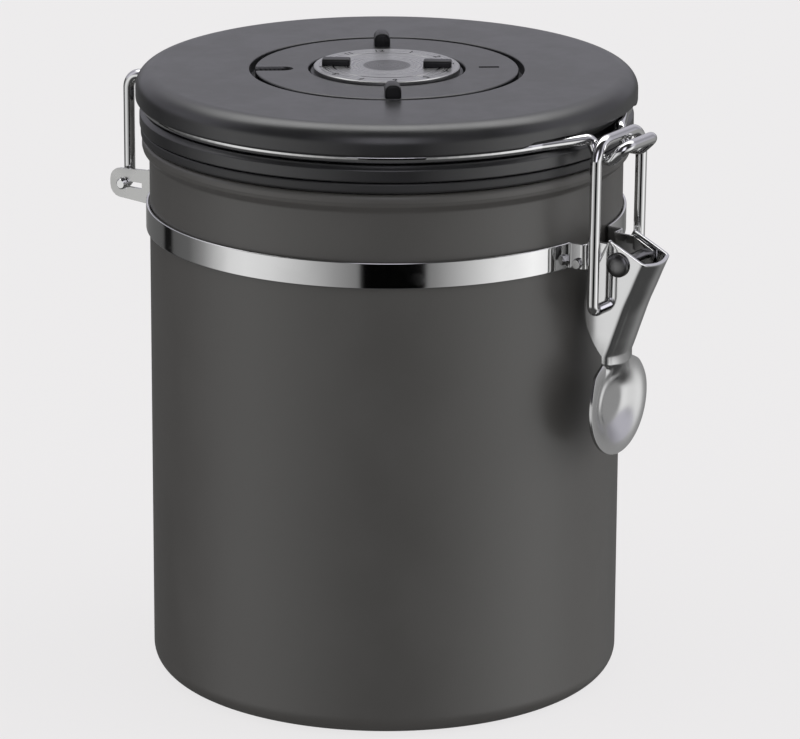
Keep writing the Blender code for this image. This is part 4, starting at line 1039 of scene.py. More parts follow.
class CANISTER_OT_bracket(Operator):
    """Hinge bracket with rounded edges, and its two rivets"""
    bl_idname = "canister.bracket"
    bl_label = "Hinge bracket"

    def execute(self, context):
        """Round the edges of a merged copy of the CAD bracket, then turn the rivets."""
        size = settings().bracket
        mesh = frame["nodes"]["hinge_bracket"].data.copy()
        mesh.name = "bracket_sheet"
        mesh.materials.clear()
        self.flatten(mesh)
        piece = add_piece("bracket_sheet", mesh, "canister", "satin_steel", "hinge_bracket",
                          crease=math.radians(30))
        add_bevel(piece, size.edge)
        for side, node in ((-1, "bracket_rivet_left"), (1, "bracket_rivet_right")):
            reach = np.linalg.norm((high(node) + low(node))[:2] / 2)
            inside = body_radius()
            foot = 2 * reach - inside - size.rivet_dome - size.rivet_sink
            head = dome(size.rivet_head, size.rivet_dome, foot, size.rivet_rim)
            shank = size.rivet_head / HEAD_OVER_SHANK
            profile = np.vstack([head, [(shank, foot), (shank, inside), (0.0, inside)]])
            aside = Matrix.Rotation(-side * size.rivet_turn, 4, 'Z')
            outward = Matrix.Rotation(-math.pi / 2, 4, 'X')
            place = Matrix.Translation((0.0, 0.0, BAND_MIDDLE)) @ aside @ outward
            name = node.replace("bracket_rivet", "rivet_bracket")
            mesh = turned(name, guarded(profile, reach=0.0001), steps=48, place=place)
            add_piece(name, mesh, "canister", "satin_steel", node)
        return {'FINISHED'}

    @staticmethod
    def flatten(mesh):
        """Merge the triangles' doubles and join those in one plane, so that only true edges remain."""
        shape = bmesh.new()
        shape.from_mesh(mesh)
        bmesh.ops.remove_doubles(shape, verts=shape.verts, dist=CAD_MERGE_DISTANCE)
        bmesh.ops.dissolve_limit(shape, angle_limit=math.radians(1.5), verts=shape.verts, edges=shape.edges)
        shape.to_mesh(mesh)
        shape.free()


# Rows of the lever's mesh along its channel and down its pad, the angle from the pad's top where they end,
# and points across half the channel: along the ear, round its corner and over the web
CHANNEL_ROWS = 44
PAD_ROWS = 72
PAD_END = math.radians(178.0)
EAR_POINTS = 14
CORNER_POINTS = 8
WEB_POINTS = 9


class CANISTER_OT_lever(Operator):
    """Latch lever: a stamped channel with two ears that runs into a dished round thumb pad"""
    bl_idname = "canister.lever"
    bl_label = "Lever"

    def execute(self, context):
        """Loft rows of the channel and the pad, then give the sheet its thickness and rounded edges."""
        size = settings().latch
        channel = self.channel_rows(size, np.linspace(0.0, 1.0, CHANNEL_ROWS))
        neck = math.asin(size.ear_half / size.pad_radius)
        angle = np.linspace(neck, PAD_END, PAD_ROWS)
        pad = self.pad_rows(size, angle, channel.shape[1])
        share_deep = (angle - neck) / size.neck_depth
        deep = smoothstep(share_deep)
        wide = smoothstep((angle - neck) / size.neck_spread)
        blend = np.stack([wide, deep, wide], axis=-1)[:, None]
        throat = np.repeat(channel[-1:], len(angle), axis=0)
        middle = channel.shape[1] // 2
        drop = pad[:, 0, 2] - channel[-1, middle, 2] - size.web_corner * (1 - np.clip(share_deep, 0.0, 1.0))
        throat[:, :, 2] += drop[:, None]
        grid = np.vstack([channel, throat * (1 - blend) + pad * blend]) + RIVET
        mesh = grid_mesh("lever_sheet", grid, solid=False)
        piece = add_piece("lever_sheet", mesh, "lever", "polished_steel", "latch_lever", finish="lever_steel")
        solid = piece.modifiers.new("Sheet", 'SOLIDIFY')
        solid.thickness = size.sheet
        solid.offset = 0.0
        solid.use_even_offset = True
        add_bevel(piece, size.edge)
        return {'FINISHED'}

    @staticmethod
    def channel_rows(size, station):
        """Rows across the channel, each ear, corner arc, crowned web, corner arc and ear.

        Along a row the reach is a(v) (width(u) - corner) + b(v) from the inner edge, and the side is s(v).
        """
        edges = [curve_through(station, EAR_STATIONS, edge) for edge in (EAR_INNER, EAR_OUTER)]
        width = np.linalg.norm(edges[1] - edges[0], axis=1)[:, None]
        ahead = unit(edges[1] - edges[0])
        ear = np.linspace(0.0, 1.0, EAR_POINTS)
        turn_at = np.linspace(0.0, math.pi / 2, CORNER_POINTS)[1:]
        web = np.linspace(1.0, 0.0, WEB_POINTS)[1:]
        web_half = size.ear_half - size.web_corner
        spread = np.concatenate([ear, np.ones(len(turn_at) + len(web))])
        lift = np.concatenate([np.zeros(len(ear)), size.web_corner * np.sin(turn_at),
                               size.web_corner + size.web_crown * (1 - web ** 2)])
        side = np.concatenate([np.full(len(ear), size.ear_half), web_half + size.web_corner * np.cos(turn_at),
                               web_half * web])
        reach = spread * (width - size.web_corner) + lift
        reach = np.hstack([reach, reach[:, -2::-1]])
        side = np.concatenate([side, -side[-2::-1]])
        spots = edges[0][:, None] + ahead[:, None] * reach[:, :, None]
        return np.stack([np.broadcast_to(side, reach.shape), -spots[:, :, 0], spots[:, :, 1]], axis=-1)

    @staticmethod
    def pad_rows(size, angle, columns):
        """Rows of the pad by angle from its top: a lip, a dish with a flat middle, and a raised crescent.

        The dish is an eased step of the share 1 - rho from the lip inwards. The crescent is the hump
        exp(-((rho - radius) / width)^2) about a circle, which thins and sinks towards its two tips.
        """
        level = size.pad_radius * np.cos(angle)[:, None] * np.ones(columns)
        across = size.pad_radius * np.sin(angle)[:, None] * np.linspace(1.0, -1.0, columns)
        spot = np.hypot(across, level)
        dish = size.pad_dish * smoothstep((1 - size.pad_lip - spot / size.pad_radius) / size.pad_slope)
        bearing = np.arctan2(level, across) - size.crescent_turn
        bearing = np.abs((bearing + math.pi) % (2 * math.pi) - math.pi)
        taper = 1 - smoothstep(bearing / size.crescent_span)
        width = size.crescent_width * (size.crescent_tip + (1 - size.crescent_tip) * taper)
        hump = np.exp(-((spot - size.crescent_radius) / width) ** 2)
        outward = -size.pad_inset - dish + size.crescent_height * hump * np.sqrt(taper)
        return np.stack([across, -outward, level - size.pad_drop], axis=-1)


class CANISTER_OT_link(Operator):
    """Wire link between the lever and the lid's nose"""
    bl_idname = "canister.link"
    bl_label = "Link"

    def execute(self, context):
        """Wire from the crossbar down each leg to its hook in the lever's ear."""
        size = settings().latch
        spread = high("latch_link")[0] - size.wire / 2
        top = high("latch_link")[2] - size.wire / 2
        front = low("latch_link")[1] + size.wire / 2
        half = [(0.0, front, top), (spread, front, top), (spread, LINK_PIVOT[1], LINK_PIVOT[2]),
                (size.hook_in, LINK_PIVOT[1], LINK_PIVOT[2])]
        path = mirrored(rounded(half, (size.link_bend, size.hook_bend), WIRE_STEP))
        add_piece("link_wire", wire("link_wire", path, size.wire), "link", "wire_steel", "latch_link")
        return {'FINISHED'}


class CANISTER_OT_hoop(Operator):
    """Wire hoop on the lid: nose, arms, groove ring, hinge legs and hooks in one wire"""
    bl_idname = "canister.hoop"
    bl_label = "Hoop"

    def execute(self, context):
        """Wire from the nose back along an arm, round the groove, down the hinge leg and into the bracket."""
        size = settings().hoop
        radius = high("lid_hoop")[0] - size.wire / 2
        level = high("lid_hoop")[2] - size.wire / 2
        nose = low("lid_hoop")[1] + size.wire / 2
        hook_end = self.hook_end()
        collar = LID_RADIUS - settings().lid.collar_inset
        dip = level - size.dip_drop
        leave = math.asin(size.arm_leave / radius)
        ease = math.radians(3)
        start = ring_arc(radius, leave, leave + ease, level)
        arm = size.arm_spread
        front = [(0.0, nose, level - size.nose_drop), (arm, nose, level - size.nose_drop),
                 (arm, -collar - size.dip_far, dip), (arm, -collar - size.dip_near, dip),
                 (arm, -collar - size.arm_exit, level), start[0], start[-1]]
        bend = size.arm_bend
        near_bend = 0.95 * bend
        ring_bend = 4 * bend
        path = rounded(front, (size.nose_bend, bend, near_bend, bend, ring_bend), WIRE_STEP)
        turn_at = math.pi - math.asin(size.leg_spread / radius)
        leg_room = 1.4 * size.leg_bend
        ring = ring_arc(radius, leave + 2 * ease, turn_at - leg_room / radius, level)
        foot = math.sqrt(radius ** 2 - size.leg_spread ** 2)
        back = [ring[-1], (size.leg_spread, foot, level), (size.leg_spread, HINGE[1], level),
                (size.leg_spread, HINGE[1], HINGE[2]), (hook_end, HINGE[1], HINGE[2])]
        legs = rounded(back, (size.leg_bend, size.leg_bend, size.hook_bend), WIRE_STEP)
        path = mirrored(np.vstack([path, ring[:-1], legs]))
        add_piece("hoop_wire", wire("hoop_wire", path, size.wire), "lid", "wire_steel", "lid_hoop")
        return {'FINISHED'}

    @staticmethod
    def hook_end():
        """Where the hinge hooks end, from the middle: the CAD wire's reach at the hinge axis."""
        spots = cad_points("lid_hoop")
        near = np.hypot(spots[:, 1] - HINGE[1], spots[:, 2] - HINGE[2]) < settings().hoop.wire
        return spots[near, 0].max()


class CANISTER_OT_lid(Operator):
    """Lid shell, gasket, liner and the liner's screws"""
    bl_idname = "canister.lid"
    bl_label = "Lid"

    def execute(self, context):
        """Turn the shell, the gasket and the liner from their rounded profiles, then set the screws."""
        size = settings().lid
        skirt = LID_RADIUS - size.groove_inset - size.skirt_wall
        self.add_shell(size, skirt)
        self.add_gasket(size, skirt + size.seat_gap)
        self.add_liner(size)
        for number in ("1", "2", "3"):
            self.add_screw(size, "liner_screw_" + number, low("lid_liner")[2])
        return {'FINISHED'}

    def add_shell(self, size, skirt):
        """Disc with its recess and lip, the hoop's groove and the collar, as one closed profile."""
        collar_low = high("lid_gasket")[2] + size.seat_gap
        collar_top = collar_low + size.collar_height
        disc_low = collar_top + size.groove_height
        lip_low = disc_low - size.lip_drop
        lip_in = LID_RADIUS - size.lip_width
        collar = LID_RADIUS - size.collar_inset
        groove = LID_RADIUS - size.groove_inset
        recess = RING_RADIUS + size.ring_groove
        recess_wall = recess + size.floor_plate
        hub = settings().dial.spindle_radius + size.seat_gap
        floor_under = RECESS_FLOOR - size.floor_plate
        disc_under = LID_TOP - size.disc_plate
        corners = ((hub, RECESS_FLOOR, FINE_ROUND), (recess, RECESS_FLOOR, FINE_ROUND),
                   (recess, LID_TOP, size.recess_round), (LID_RADIUS, LID_TOP, size.top_round),
                   (LID_RADIUS, lip_low, size.low_round), (lip_in, lip_low, FINE_ROUND),
                   (lip_in, disc_low, FINE_ROUND), (groove, disc_low, size.groove_round),
                   (groove, collar_top, size.groove_round),
                   (collar - size.collar_chamfer, collar_top, size.collar_round),
                   (collar, collar_top - size.collar_chamfer, size.collar_round),
                   (collar, collar_low, size.collar_foot), (skirt, collar_low, FINE_ROUND),
                   (skirt, disc_under, FINE_ROUND), (recess_wall, disc_under, FINE_ROUND),
                   (recess_wall, floor_under, FINE_ROUND), (hub, floor_under, FINE_ROUND))
        change = self.edge_change(size, disc_low, (disc_low + collar_top) / 2)
        self.add_ring("lid_disc", corners, "lid_plastic", "lid_shell", change)

    @staticmethod
    def edge_change(size, disc_low, lip_floor):
        """Change that widens the upper edge to an ellipse and opens the lip over the nose and hinge legs."""
        level_slack = 0.0001
        inset_slack = 0.001
        edge_low = LID_TOP - size.top_round - level_slack
        edge_reach = size.top_round + inset_slack
        gap_end = size.lip_gap / 8

        def change(radius, level, angle):
            """The inset of the edge times spread / round, and the drop of the lip times 0 in its two gaps."""
            inset = LID_RADIUS - radius
            at_edge = (level > edge_low) & (inset < edge_reach)
            widen = (size.top_spread / size.top_round - 1) * np.minimum(inset, size.top_round)
            radius = np.where(at_edge, radius - widen, radius)
            front = np.abs((angle + 1.5 * math.pi) % (2 * math.pi) - math.pi)
            near = np.minimum(front, math.pi - front)
            keep = smoothstep((near - size.lip_gap) / gap_end)
            in_lip = (level < disc_low) & (level > lip_floor)
            return radius, np.where(in_lip, disc_low - (disc_low - level) * keep, level)

        return change

    def add_gasket(self, size, inner):
        """Gasket with a thin inner part and a soft lower edge."""
        bottom = low("lid_gasket")[2]
        top = high("lid_gasket")[2]
        outer = high("lid_gasket")[0]
        step = high("lid_liner")[0] + size.seat_gap
        lip = top - size.gasket_lip
        corners = ((inner, top, FINE_ROUND), (outer, top, size.gasket_edge),
                   (outer, bottom, size.gasket_soft), (step, bottom, size.gasket_edge),
                   (step, lip, FINE_ROUND), (inner, lip, FINE_ROUND))
        self.add_ring("gasket_ring", corners, "silicone", "lid_gasket")

    @staticmethod
    def add_liner(size):
        """Shallow dish with a flange."""
        bottom = low("lid_liner")[2]
        top = high("lid_liner")[2]
        flange = high("lid_liner")[0]
        flange_low = top - size.liner_flange
        wall = size.liner_wall
        top_out = flange - size.liner_top
        low_out = flange - size.liner_low
        lines = [(0.0, bottom + wall), (low_out - wall, bottom + wall), (top_out - wall, top), (flange, top),
                 (flange, flange_low), (top_out, flange_low), (low_out, bottom), (0.0, bottom)]
        radii = (size.liner_inner, *(size.liner_edge,) * 3, size.liner_neck, size.liner_outer)
        mesh = turned("liner_dish", guarded(rounded(lines, radii), reach=0.0003), steps=200)
        add_piece("liner_dish", mesh, "lid", "lid_plastic", "lid_liner")

    @staticmethod
    def add_ring(name, corners, slot, node, change=None):
        """A turned ring from its corners, each a radius, a level and a rounding."""
        outline = rounded_loop([corner[:2] for corner in corners], [corner[2] for corner in corners])
        outline = guarded(outline, reach=0.0003, closed=True)
        mesh = turned(name, outline, ring=True, steps=240, change=change)
        add_piece(name, mesh, "lid", slot, node)

    @staticmethod
    def add_screw(size, node, seat, steps=96):
        """Pan-head screw, drawn head up and set head down: a turned dome with a cross pressed into it.

        By shares of the head's radius and height, the face is 1 - crown r^2 and the rim falls from it by a
        square too. The cross lowers the face where the nearer of |x| and |y| is under its half width.
        """
        face = np.linspace(0.0, 0.82, 26)
        rim = np.linspace(0.84, 1.0, 8)
        fall = np.linspace(0.0, 1.0, len(rim))
        shank = 0.46
        crown = 0.12
        rim_top = 0.92
        rim_fall = 0.6
        radius = np.concatenate([face, rim, [1.0, shank, shank, 0.0]])
        height = np.concatenate([1 - crown * face ** 2, rim_top - rim_fall * fall ** 2,
                                 [0.0, 0.0, -1.0, -1.0]])
        angle = full_turn(steps)
        x = size.screw_head * radius[:, None] * np.cos(angle)
        y = size.screw_head * radius[:, None] * np.sin(angle)
        z = size.screw_height * np.repeat(height[:, None], len(angle), axis=1)
        arm_half = 0.17 * size.screw_head
        arm_side = 0.4 * arm_half
        cross_reach = 0.58 * size.screw_head
        cross_end = 0.1 * size.screw_head
        cross_depth = 0.45 * size.screw_height
        within = smoothstep((cross_reach - np.hypot(x, y)) / cross_end)
        pressed = smoothstep((arm_half - np.minimum(np.abs(x), np.abs(y))) / arm_side) * within
        on_face = np.arange(len(radius)) < len(face)
        z = z - cross_depth * pressed * on_face[:, None]
        mesh = grid_mesh(node.replace("liner_screw", "screw_liner"), np.stack([x, y, z], axis=-1),
                         loop_columns=True)
        centre = (low(node) + high(node)) / 2
        mesh.transform(Matrix.Translation((centre[0], centre[1], seat)) @ Matrix.Rotation(math.pi, 4, 'X'))
        add_piece(mesh.name, mesh, "lid", "satin_steel", node)


def radius_axes(turn_at):
    """Directions along a radius and across it, in plan."""
    outward = np.array((math.cos(turn_at), math.sin(turn_at), 0.0))
    sideways = np.array((-math.sin(turn_at), math.cos(turn_at), 0.0))
    return outward, sideways


def radial_bar(name, turn_at, start, reach, section, scale):
    """Closed section carried along a radius: the path is start + reach(u) outward."""
    outward, sideways = radius_axes(turn_at)
    path = np.array(start) + reach[:, None] * outward
    across = np.tile(sideways, (len(path), 1))
    up = np.tile((0.0, 0.0, 1.0), (len(path), 1))
    return swept(name, path, section, across, up, scale)


def grip_mesh(name, node, turn_at, seat, edge, end_round, end_steps=8):
    """Raised bar: its arched section carried along the radius, drawn in at both ends to round them."""
    centre = (low(node) + high(node)) / 2
    spots = np.abs((cad_points(node) - centre) @ np.stack(radius_axes(turn_at), axis=1))
    half_length, half_width = spots.max(axis=0)
    height = high(node)[2] - seat
    corners = [(-half_width, 0.0), (half_width, 0.0), (half_width, height), (-half_width, height)]
    outline = rounded_loop(corners, (FINE_ROUND, FINE_ROUND, edge, edge))
    section = guarded(outline, reach=0.0002, closed=True)
    angle = np.linspace(0.0, math.pi / 2, end_steps)
    inset = end_round * (1 - np.sin(angle))
    start = -half_length + end_round * (1 - np.cos(angle))
    reach = np.concatenate([start[:1], start, -start[::-1], -start[:1]])
    scale = np.concatenate([[0.0], 1 - inset / half_width, 1 - inset[::-1] / half_width, [0.0]])
    return radial_bar(name, turn_at, (centre[0], centre[1], seat), reach, section, scale)


# Date ring's mesh: rows across its face, the angle each side of the notch that has close steps, the number of
# those steps and of the steps round the rest
FACE_ROWS = 110
CLOSE_HALF = 0.2
CLOSE_STEPS = 150
REST_STEPS = 190


class CANISTER_OT_ring(Operator):
    """Date ring with its pointer notch, its mark and two raised grips"""
    bl_idname = "canister.ring"
    bl_label = "Date ring"

    def execute(self, context):
        """Turn the ring's profile and press the notch into it, then add the mark and the grips."""
        size = settings().dial
        inner = DIAL_RADIUS + size.groove
        lip = inner - size.ring_lip
        lip_top = RING_LOW + size.lip_height
        corners = [(inner, LID_TOP), (RING_RADIUS, LID_TOP), (RING_RADIUS, RING_LOW), (lip, RING_LOW),
                   (lip, lip_top), (inner, lip_top)]
        outline = rounded_loop(corners, (size.ring_round,) * 2 + (FINE_ROUND,) * 4)
        top = LID_TOP - outline[:, 1] < MERGE_DISTANCE
        span = outline[top, 0]
        split = int(np.flatnonzero(top)[0]) + 1
        fine = np.linspace(span.min(), span.max(), FACE_ROWS)[1:-1]
        face = np.stack([fine, np.full(len(fine), LID_TOP)], axis=1)
        profile = np.vstack([outline[:split], face, outline[split:]])
        notch_at = size.ring_turn - math.pi / 2
        close = notch_at + np.linspace(-CLOSE_HALF, CLOSE_HALF, CLOSE_STEPS)
        rest = notch_at + np.linspace(CLOSE_HALF, 2 * math.pi - CLOSE_HALF, REST_STEPS)[1:-1]
        angle = np.concatenate([close, rest])
        x = profile[:, :1] * np.cos(angle)
        y = profile[:, :1] * np.sin(angle)
        z = np.minimum(profile[:, 1:], self.notch_floor(size, x, y, notch_at))
        mesh = grid_mesh("ring_plate", np.stack([x, y, z], axis=-1), loop_rows=True, loop_columns=True)
        add_piece("ring_plate", mesh, "ring", "lid_plastic", "date_ring")
        # Painted shade: the notch's lower faces take darker black plastic, to stand for the shade in the
        # recess
        mesh.materials.append(finished("black_plastic"))
        self.shade_notch_floor(size, mesh, inner + size.lip_height)
        mark_at = size.ring_turn + math.pi / 2
        add_piece("ring_mark", self.mark_mesh(size, mark_at), "ring", "black_plastic", finish="ink")
        for name, node, turn_at in (("grip_ring_front", "ring_grip_front", size.ring_turn),
                                    ("grip_ring_rear", "ring_grip_rear", size.ring_turn + math.pi)):
            mesh = grip_mesh(name, node, turn_at, LID_TOP - SEAT_SINK, size.ring_grip_round, size.grip_end)
            add_piece(name, mesh, "ring", "black_plastic", node)
        return {'FINISHED'}

    @staticmethod
    def shade_notch_floor(size, mesh, inside):
        """Give the faces in the lower half of the notch and below, outside a radius, darker black plastic as
        painted shade.
        """
        centre = vectors_of(mesh.polygons, "center")
        deep = centre[:, 2] < LID_TOP - size.notch_depth / 2
        beyond = np.hypot(centre[:, 0], centre[:, 1]) > inside
        mesh.polygons.foreach_set("material_index", (deep & beyond).astype(np.int32))

    @staticmethod
    def notch_floor(size, x, y, notch_at):
        """Highest level by place: the lid's top, lowered where |across| is under the notch's half width."""
        along = x * math.cos(notch_at) + y * math.sin(notch_at)
        across = -x * math.sin(notch_at) + y * math.cos(notch_at)
        point = RING_RADIUS - size.notch_length
        ahead = np.clip((along - point) / size.notch_point, 0.0, 1.0)
        half = size.notch_width / 2 * np.sqrt(ahead * (2 - ahead))
        return LID_TOP - size.notch_depth * smoothstep((half - np.abs(across)) / size.notch_edge)

    @staticmethod
    def mark_mesh(size, mark_at):
        """Thin raised line along the radius: a flat section carried from its inner to its outer end."""
        reach = np.array((size.mark_start, size.mark_start, size.mark_end, size.mark_end))
        scale = np.array((0.0, 1.0, 1.0, 0.0))
        half = size.mark_width / 2
        rise = size.ink_rise
        section = np.array(((-half, -SEAT_SINK), (half, -SEAT_SINK), (half, rise), (-half, rise)))
        return radial_bar("ring_mark", mark_at, (0.0, 0.0, LID_TOP), reach, section, scale)


class CANISTER_OT_dial(Operator):
    """Dial: spun plate on its base, numbers, grips, and the washer and screw below"""
    bl_idname = "canister.dial"
    bl_label = "Dial"

    def execute(self, context):
        """Turn the plate with its engraved line, its base and fasteners, then set the numbers and grips."""
        size = settings().dial
        line = size.line_radius
        half = size.line_width
        edge = size.plate_edge
        profile = [(0.0, DIAL_TOP), (line - half, DIAL_TOP), (line, DIAL_TOP - half), (line + half, DIAL_TOP),
                   (DIAL_RADIUS - edge, DIAL_TOP), (DIAL_RADIUS, DIAL_TOP - edge), (DIAL_RADIUS, DIAL_LOW),
                   (0.0, DIAL_LOW)]
        mesh = turned("dial_face", guarded(profile, reach=0.00008), steps=200)
        add_piece("dial_face", mesh, "dial", "dial_metal", "dial_plate", crease=math.radians(25))
        self.add_base(size)
        add_piece("dial_numbers", self.numbers_mesh(size), "dial", "dial_metal", finish="ink")
        for name, node, turn_at in (("grip_dial_right", "dial_grip_right", size.dial_turn),
                                    ("grip_dial_left", "dial_grip_left", size.dial_turn + math.pi)):
            mesh = grip_mesh(name, node, turn_at, DIAL_TOP - SEAT_SINK, size.dial_grip_round, size.grip_end)
            add_piece(name, mesh, "dial", "black_plastic", node)
        return {'FINISHED'}

    @staticmethod
    def add_base(size):
        """Flange and boss under the plate, and the washer and screw that hold the spindle."""
        inner = DIAL_RADIUS + size.groove
        flange = inner - size.flange_edge
        boss = inner - size.ring_lip - settings().lid.seat_gap
        spindle = size.spindle_radius
        spindle_low = low("dial_base")[2]
        flange_low = high("dial_base")[2] - size.flange_height
        lines = [(0.0, DIAL_LOW), (flange, DIAL_LOW), (flange, flange_low), (boss, flange_low),
                 (boss, RING_LOW), (spindle, RING_LOW), (spindle, spindle_low), (0.0, spindle_low)]
        profile = guarded(rounded(lines, (FINE_ROUND,) * 6), reach=0.0002)
        add_piece("base_dial", turned("base_dial", profile), "dial", "black_plastic", "dial_base")
        for name, node in (("washer_dial", "dial_washer"), ("screw_dial", "dial_screw")):
            bottom = low(node)[2]
            radius = high(node)[0]
            top = high(node)[2] if node == "dial_washer" else low("dial_washer")[2]
            lines = [(0.0, top), (radius, top), (radius, bottom), (0.0, bottom)]
            profile = guarded(rounded(lines, (FINE_ROUND, size.fastener_round)), reach=0.0001)
            add_piece(name, turned(name, profile, steps=64), "dial", "satin_steel", node)

    @staticmethod
    def numbers_mesh(size):
        """Numbers 1 to 12 round the dial, each a thin solid with its foot towards the centre."""
        joined = bmesh.new()
        ring = (size.line_radius + DIAL_RADIUS) / 2
        for number in range(1, 13):
            words = bpy.data.curves.new("number", 'FONT')
            words.body = str(number)
            words.size = size.number_size
            words.align_x = 'CENTER'
            words.align_y = 'CENTER'
            words.extrude = size.ink_rise
            words.resolution_u = 3
            holder = bpy.data.objects.new("number", words)
            letter = bpy.data.meshes.new_from_object(holder)
            bearing = size.number_turn - number * math.pi / 6
            letter.transform(Matrix.Rotation(bearing - math.pi / 2, 4, 'Z')
                             @ Matrix.Translation((0.0, ring, DIAL_TOP)))
            joined.from_mesh(letter)
            bpy.data.objects.remove(holder)
            bpy.data.curves.remove(words)
            bpy.data.meshes.remove(letter)
        mesh = bpy.data.meshes.new("dial_numbers")
        joined.to_mesh(mesh)
        joined.free()
        weld(mesh)
        return mesh


# Studio walls, as stops of bearing from the camera in degrees and brightness: what the gloss shows below eye
# level and above it, and the soft light on the rest
LOW_WALLS = ((-180, 0.30), (-160, 0.14), (-148, 0.12), (-134, 0.10), (-131, 0.008), (-125, 0.008),
             (-122, 0.10), (-108, 0.12), (-98, 0.26), (-88, 0.52), (-80, 0.74), (-70, 0.80), (-56, 0.74),
             (-40, 0.55), (-24, 0.31), (-13, 0.20), (-11, 0.001), (18, 0.001), (20, 0.20), (24, 0.25),
             (40, 0.54), (56, 0.85), (64, 0.92), (74, 1.08), (86, 0.92), (98, 0.52), (112, 0.34),
             (132, 0.30), (148, 0.22), (160, 0.14), (180, 0.30))
HIGH_WALLS = ((-180, 0.52), (-150, 0.52), (-125, 0.30), (-100, 0.60), (-84, 0.60), (-72, 0.06), (-40, 0.02),
              (-20, 0.06), (-9, 1.2), (9, 1.2), (20, 0.06), (40, 0.02), (60, 0.10), (75, 0.60), (100, 0.60),
              (125, 0.30), (150, 0.52), (180, 0.52))
SOFT_WALLS = ((-180, 0.8), (-125, 0.8), (-100, 2.2), (-66, 2.2), (-40, 0.8), (45, 0.8), (76, 3.9), (112, 3.9),
              (145, 0.8), (180, 0.8))
# Faint blue of the walls above eye level
SKY_TINT = (1.0, 0.985, 1.09)
# Where the high walls, the ceiling, the ground, the lamp panel and the soft light overhead fade in, by a
# direction's height from -1 straight down to 1 straight up
HIGH_FADE = (-0.02, 0.08)
CEILING_FADE = (0.55, 0.80)
GROUND_FADE = (-0.42, -0.68)
PANEL_FADE = (0.55, 0.88)
DOME_FADE = (0.45, 0.75)
# Where the lamp panel fades in behind the canister, by a direction's part towards the camera
BEHIND_FADE = (0.03, -0.15)
# Radii of the floor's inner rings
FLOOR_RINGS = (0.0, 0.1, 0.4, 1.5)


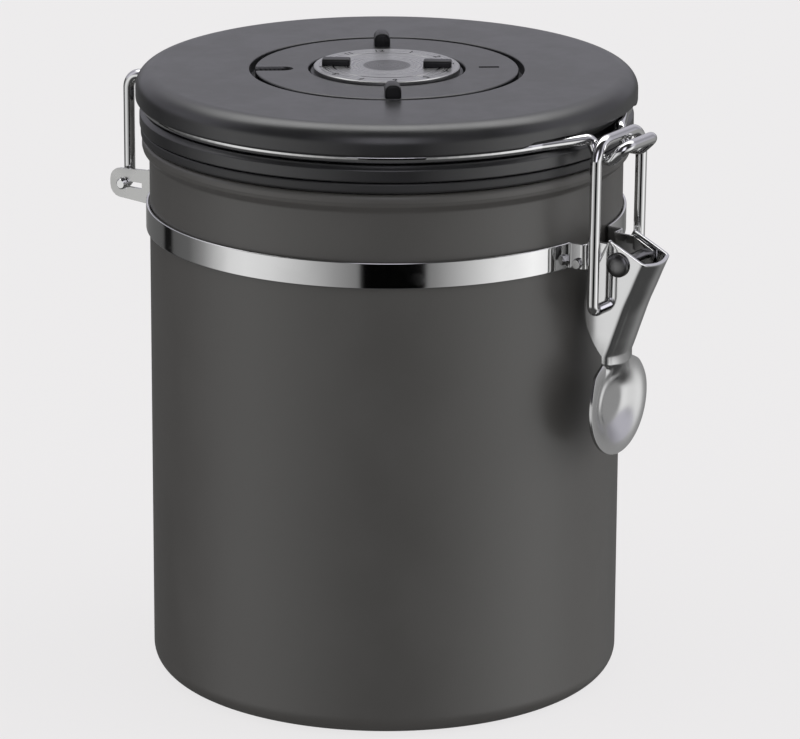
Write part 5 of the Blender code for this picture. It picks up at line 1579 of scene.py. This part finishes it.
class CANISTER_OT_stage(Operator):
    """Camera, pale floor and soft studio light"""
    bl_idname = "canister.stage"
    bl_label = "Stage"

    def execute(self, context):
        """Place the camera, spread the floor and light the world."""
        size = settings().stage
        toward = Vector((math.sin(size.azimuth), -math.cos(size.azimuth), 0.0))
        right = Vector((math.cos(size.azimuth), math.sin(size.azimuth), 0.0))
        self.add_camera(context, size, toward, right)
        self.add_floor(size)
        self.light_world(context, size, toward, right)
        context.scene.view_settings.view_transform = 'Standard'
        return {'FINISHED'}

    @staticmethod
    def add_camera(context, size, toward, right):
        """Camera on a sphere about the canister's middle, aimed a little right of it and below."""
        back = toward * math.cos(size.elevation) + Vector((0.0, 0.0, math.sin(size.elevation)))
        up = back.cross(right)
        aim = Vector((0.0, 0.0, size.middle)) + right * size.aside - up * size.below
        side = right * math.cos(size.roll) + up * math.sin(size.roll)
        above = up * math.cos(size.roll) - right * math.sin(size.roll)
        lens = bpy.data.cameras.new("photo_camera")
        lens.lens = size.focal
        lens.clip_start = 0.01
        camera = bpy.data.objects.new("photo_camera", lens)
        turned_to = Matrix((side, above, back)).transposed().to_4x4()
        camera.matrix_world = Matrix.Translation(aim + back * size.distance) @ turned_to
        context.scene.collection.objects.link(camera)
        context.scene.camera = camera

    @staticmethod
    def add_floor(size, steps=96, rough=0.9):
        """Round floor just under the base; it glows, so that it is as pale as the backdrop."""
        radius = np.array((*FLOOR_RINGS, size.floor_radius))[:, None]
        level = np.full((len(radius), steps), -size.floor_gap)
        points = ring_points(radius, full_turn(steps), level)
        floor = bpy.data.objects.new("floor", grid_mesh("floor", points, loop_columns=True, solid=False))
        paint, tree, shader = new_material("floor")
        finish_with(tree, shader, shaded(size.backdrop, size.floor_shade), rough, metallic=0.0, gloss=0.0)
        feed(tree, shader.inputs["Emission Color"], shaded(size.backdrop, 1.0))
        feed(tree, shader.inputs["Emission Strength"], size.floor_glow)
        floor.data.materials.append(paint)
        floor.visible_glossy = False
        bpy.context.scene.collection.objects.link(floor)

    @staticmethod
    def light_world(context, size, toward, right):
        """World: pale to the camera, a studio of pale and dark walls to the gloss, a soft dome to the rest.

        The walls go by the bearing from the camera's side, atan2(d . right, d . toward), and by height.
        """
        world = bpy.data.worlds.new("studio")
        world.use_nodes = True
        world.cycles.sampling_method = 'NONE'
        context.scene.world = world
        tree = world.node_tree
        shine = tree.nodes["Background"]
        direction = add_node(tree, 'ShaderNodeTexCoord').outputs["Generated"]
        aside = vector_node(tree, 'DOT_PRODUCT', direction, right, output="Value")
        front = vector_node(tree, 'DOT_PRODUCT', direction, toward, output="Value")
        height = add_node(tree, 'ShaderNodeSeparateXYZ', {0: direction}).outputs["Z"]
        bearing = math_node(tree, 'ARCTAN2', aside, front)
        place = mask(tree, bearing, (-math.pi, math.pi), smooth=False)
        low_walls = grey_ramp(tree, place, LOW_WALLS)
        high_walls = vector_node(tree, 'MULTIPLY', grey_ramp(tree, place, HIGH_WALLS), SKY_TINT)
        walls = mix_colour(tree, mask(tree, height, HIGH_FADE), low_walls, high_walls)
        studio = mix_colour(tree, mask(tree, height, CEILING_FADE), walls, grey(size.ceiling_level))
        studio = mix_colour(tree, mask(tree, height, GROUND_FADE), studio, grey(size.ground_level))
        behind = mask(tree, front, BEHIND_FADE)
        panel = math_node(tree, 'MULTIPLY', mask(tree, height, PANEL_FADE), behind)
        studio = mix_colour(tree, panel, studio, grey(size.lamp_level))
        path = add_node(tree, 'ShaderNodeLightPath').outputs
        gloss = math_node(tree, 'MAXIMUM', path["Is Glossy Ray"], path["Is Transmission Ray"])
        soft_walls = grey_ramp(tree, place, SOFT_WALLS)
        soft = mix_colour(tree, mask(tree, height, DOME_FADE), soft_walls, grey(size.dome_level))
        seen = mix_colour(tree, gloss, soft, studio)
        seen = mix_colour(tree, path["Is Camera Ray"], seen, shaded(size.backdrop, 1.0))
        feed(tree, shine.inputs["Color"], seen)


OPERATORS = (CANISTER_OT_body, CANISTER_OT_band, CANISTER_OT_bracket, CANISTER_OT_lever, CANISTER_OT_link,
             CANISTER_OT_hoop, CANISTER_OT_lid, CANISTER_OT_ring, CANISTER_OT_dial, CANISTER_OT_stage)


class CANISTER_PT_panel(Panel):
    """The canister's settings and operators in the sidebar"""
    bl_label = "Food canister"
    bl_idname = "CANISTER_PT_panel"
    bl_space_type = 'VIEW_3D'
    bl_region_type = 'UI'
    bl_category = "Canister"

    def draw(self, context):
        """List each piece's button, then the settings of each group."""
        for operator in OPERATORS:
            self.layout.operator(operator.bl_idname)
        every = context.scene.canister
        for group in every.bl_rna.properties:
            if group.type == 'POINTER' and group.identifier != "rna_type":
                box = self.layout.box()
                box.label(text=group.name)
                part = getattr(every, group.identifier)
                for entry in part.bl_rna.properties:
                    if entry.identifier not in ("rna_type", "name"):
                        box.prop(part, entry.identifier)


CLASSES = (BodySettings, BandSettings, BracketSettings, LatchSettings, HoopSettings, LidSettings,
           DialSettings, LooksSettings, StageSettings, CanisterSettings, *OPERATORS, CANISTER_PT_panel)


def register():
    """Register the classes and the scene's settings."""
    for entry in CLASSES:
        bpy.utils.register_class(entry)
    bpy.types.Scene.canister = PointerProperty(type=CanisterSettings)


def unregister():
    """Remove the settings and the classes."""
    del bpy.types.Scene.canister
    for entry in reversed(CLASSES):
        bpy.utils.unregister_class(entry)


def main():
    register()
    for operator in (bpy.ops.canister.body, bpy.ops.canister.band, bpy.ops.canister.bracket,
                     bpy.ops.canister.lever, bpy.ops.canister.link, bpy.ops.canister.hoop,
                     bpy.ops.canister.lid, bpy.ops.canister.ring, bpy.ops.canister.dial,
                     bpy.ops.canister.stage):
        operator()


if __name__ == "__main__":
    main()
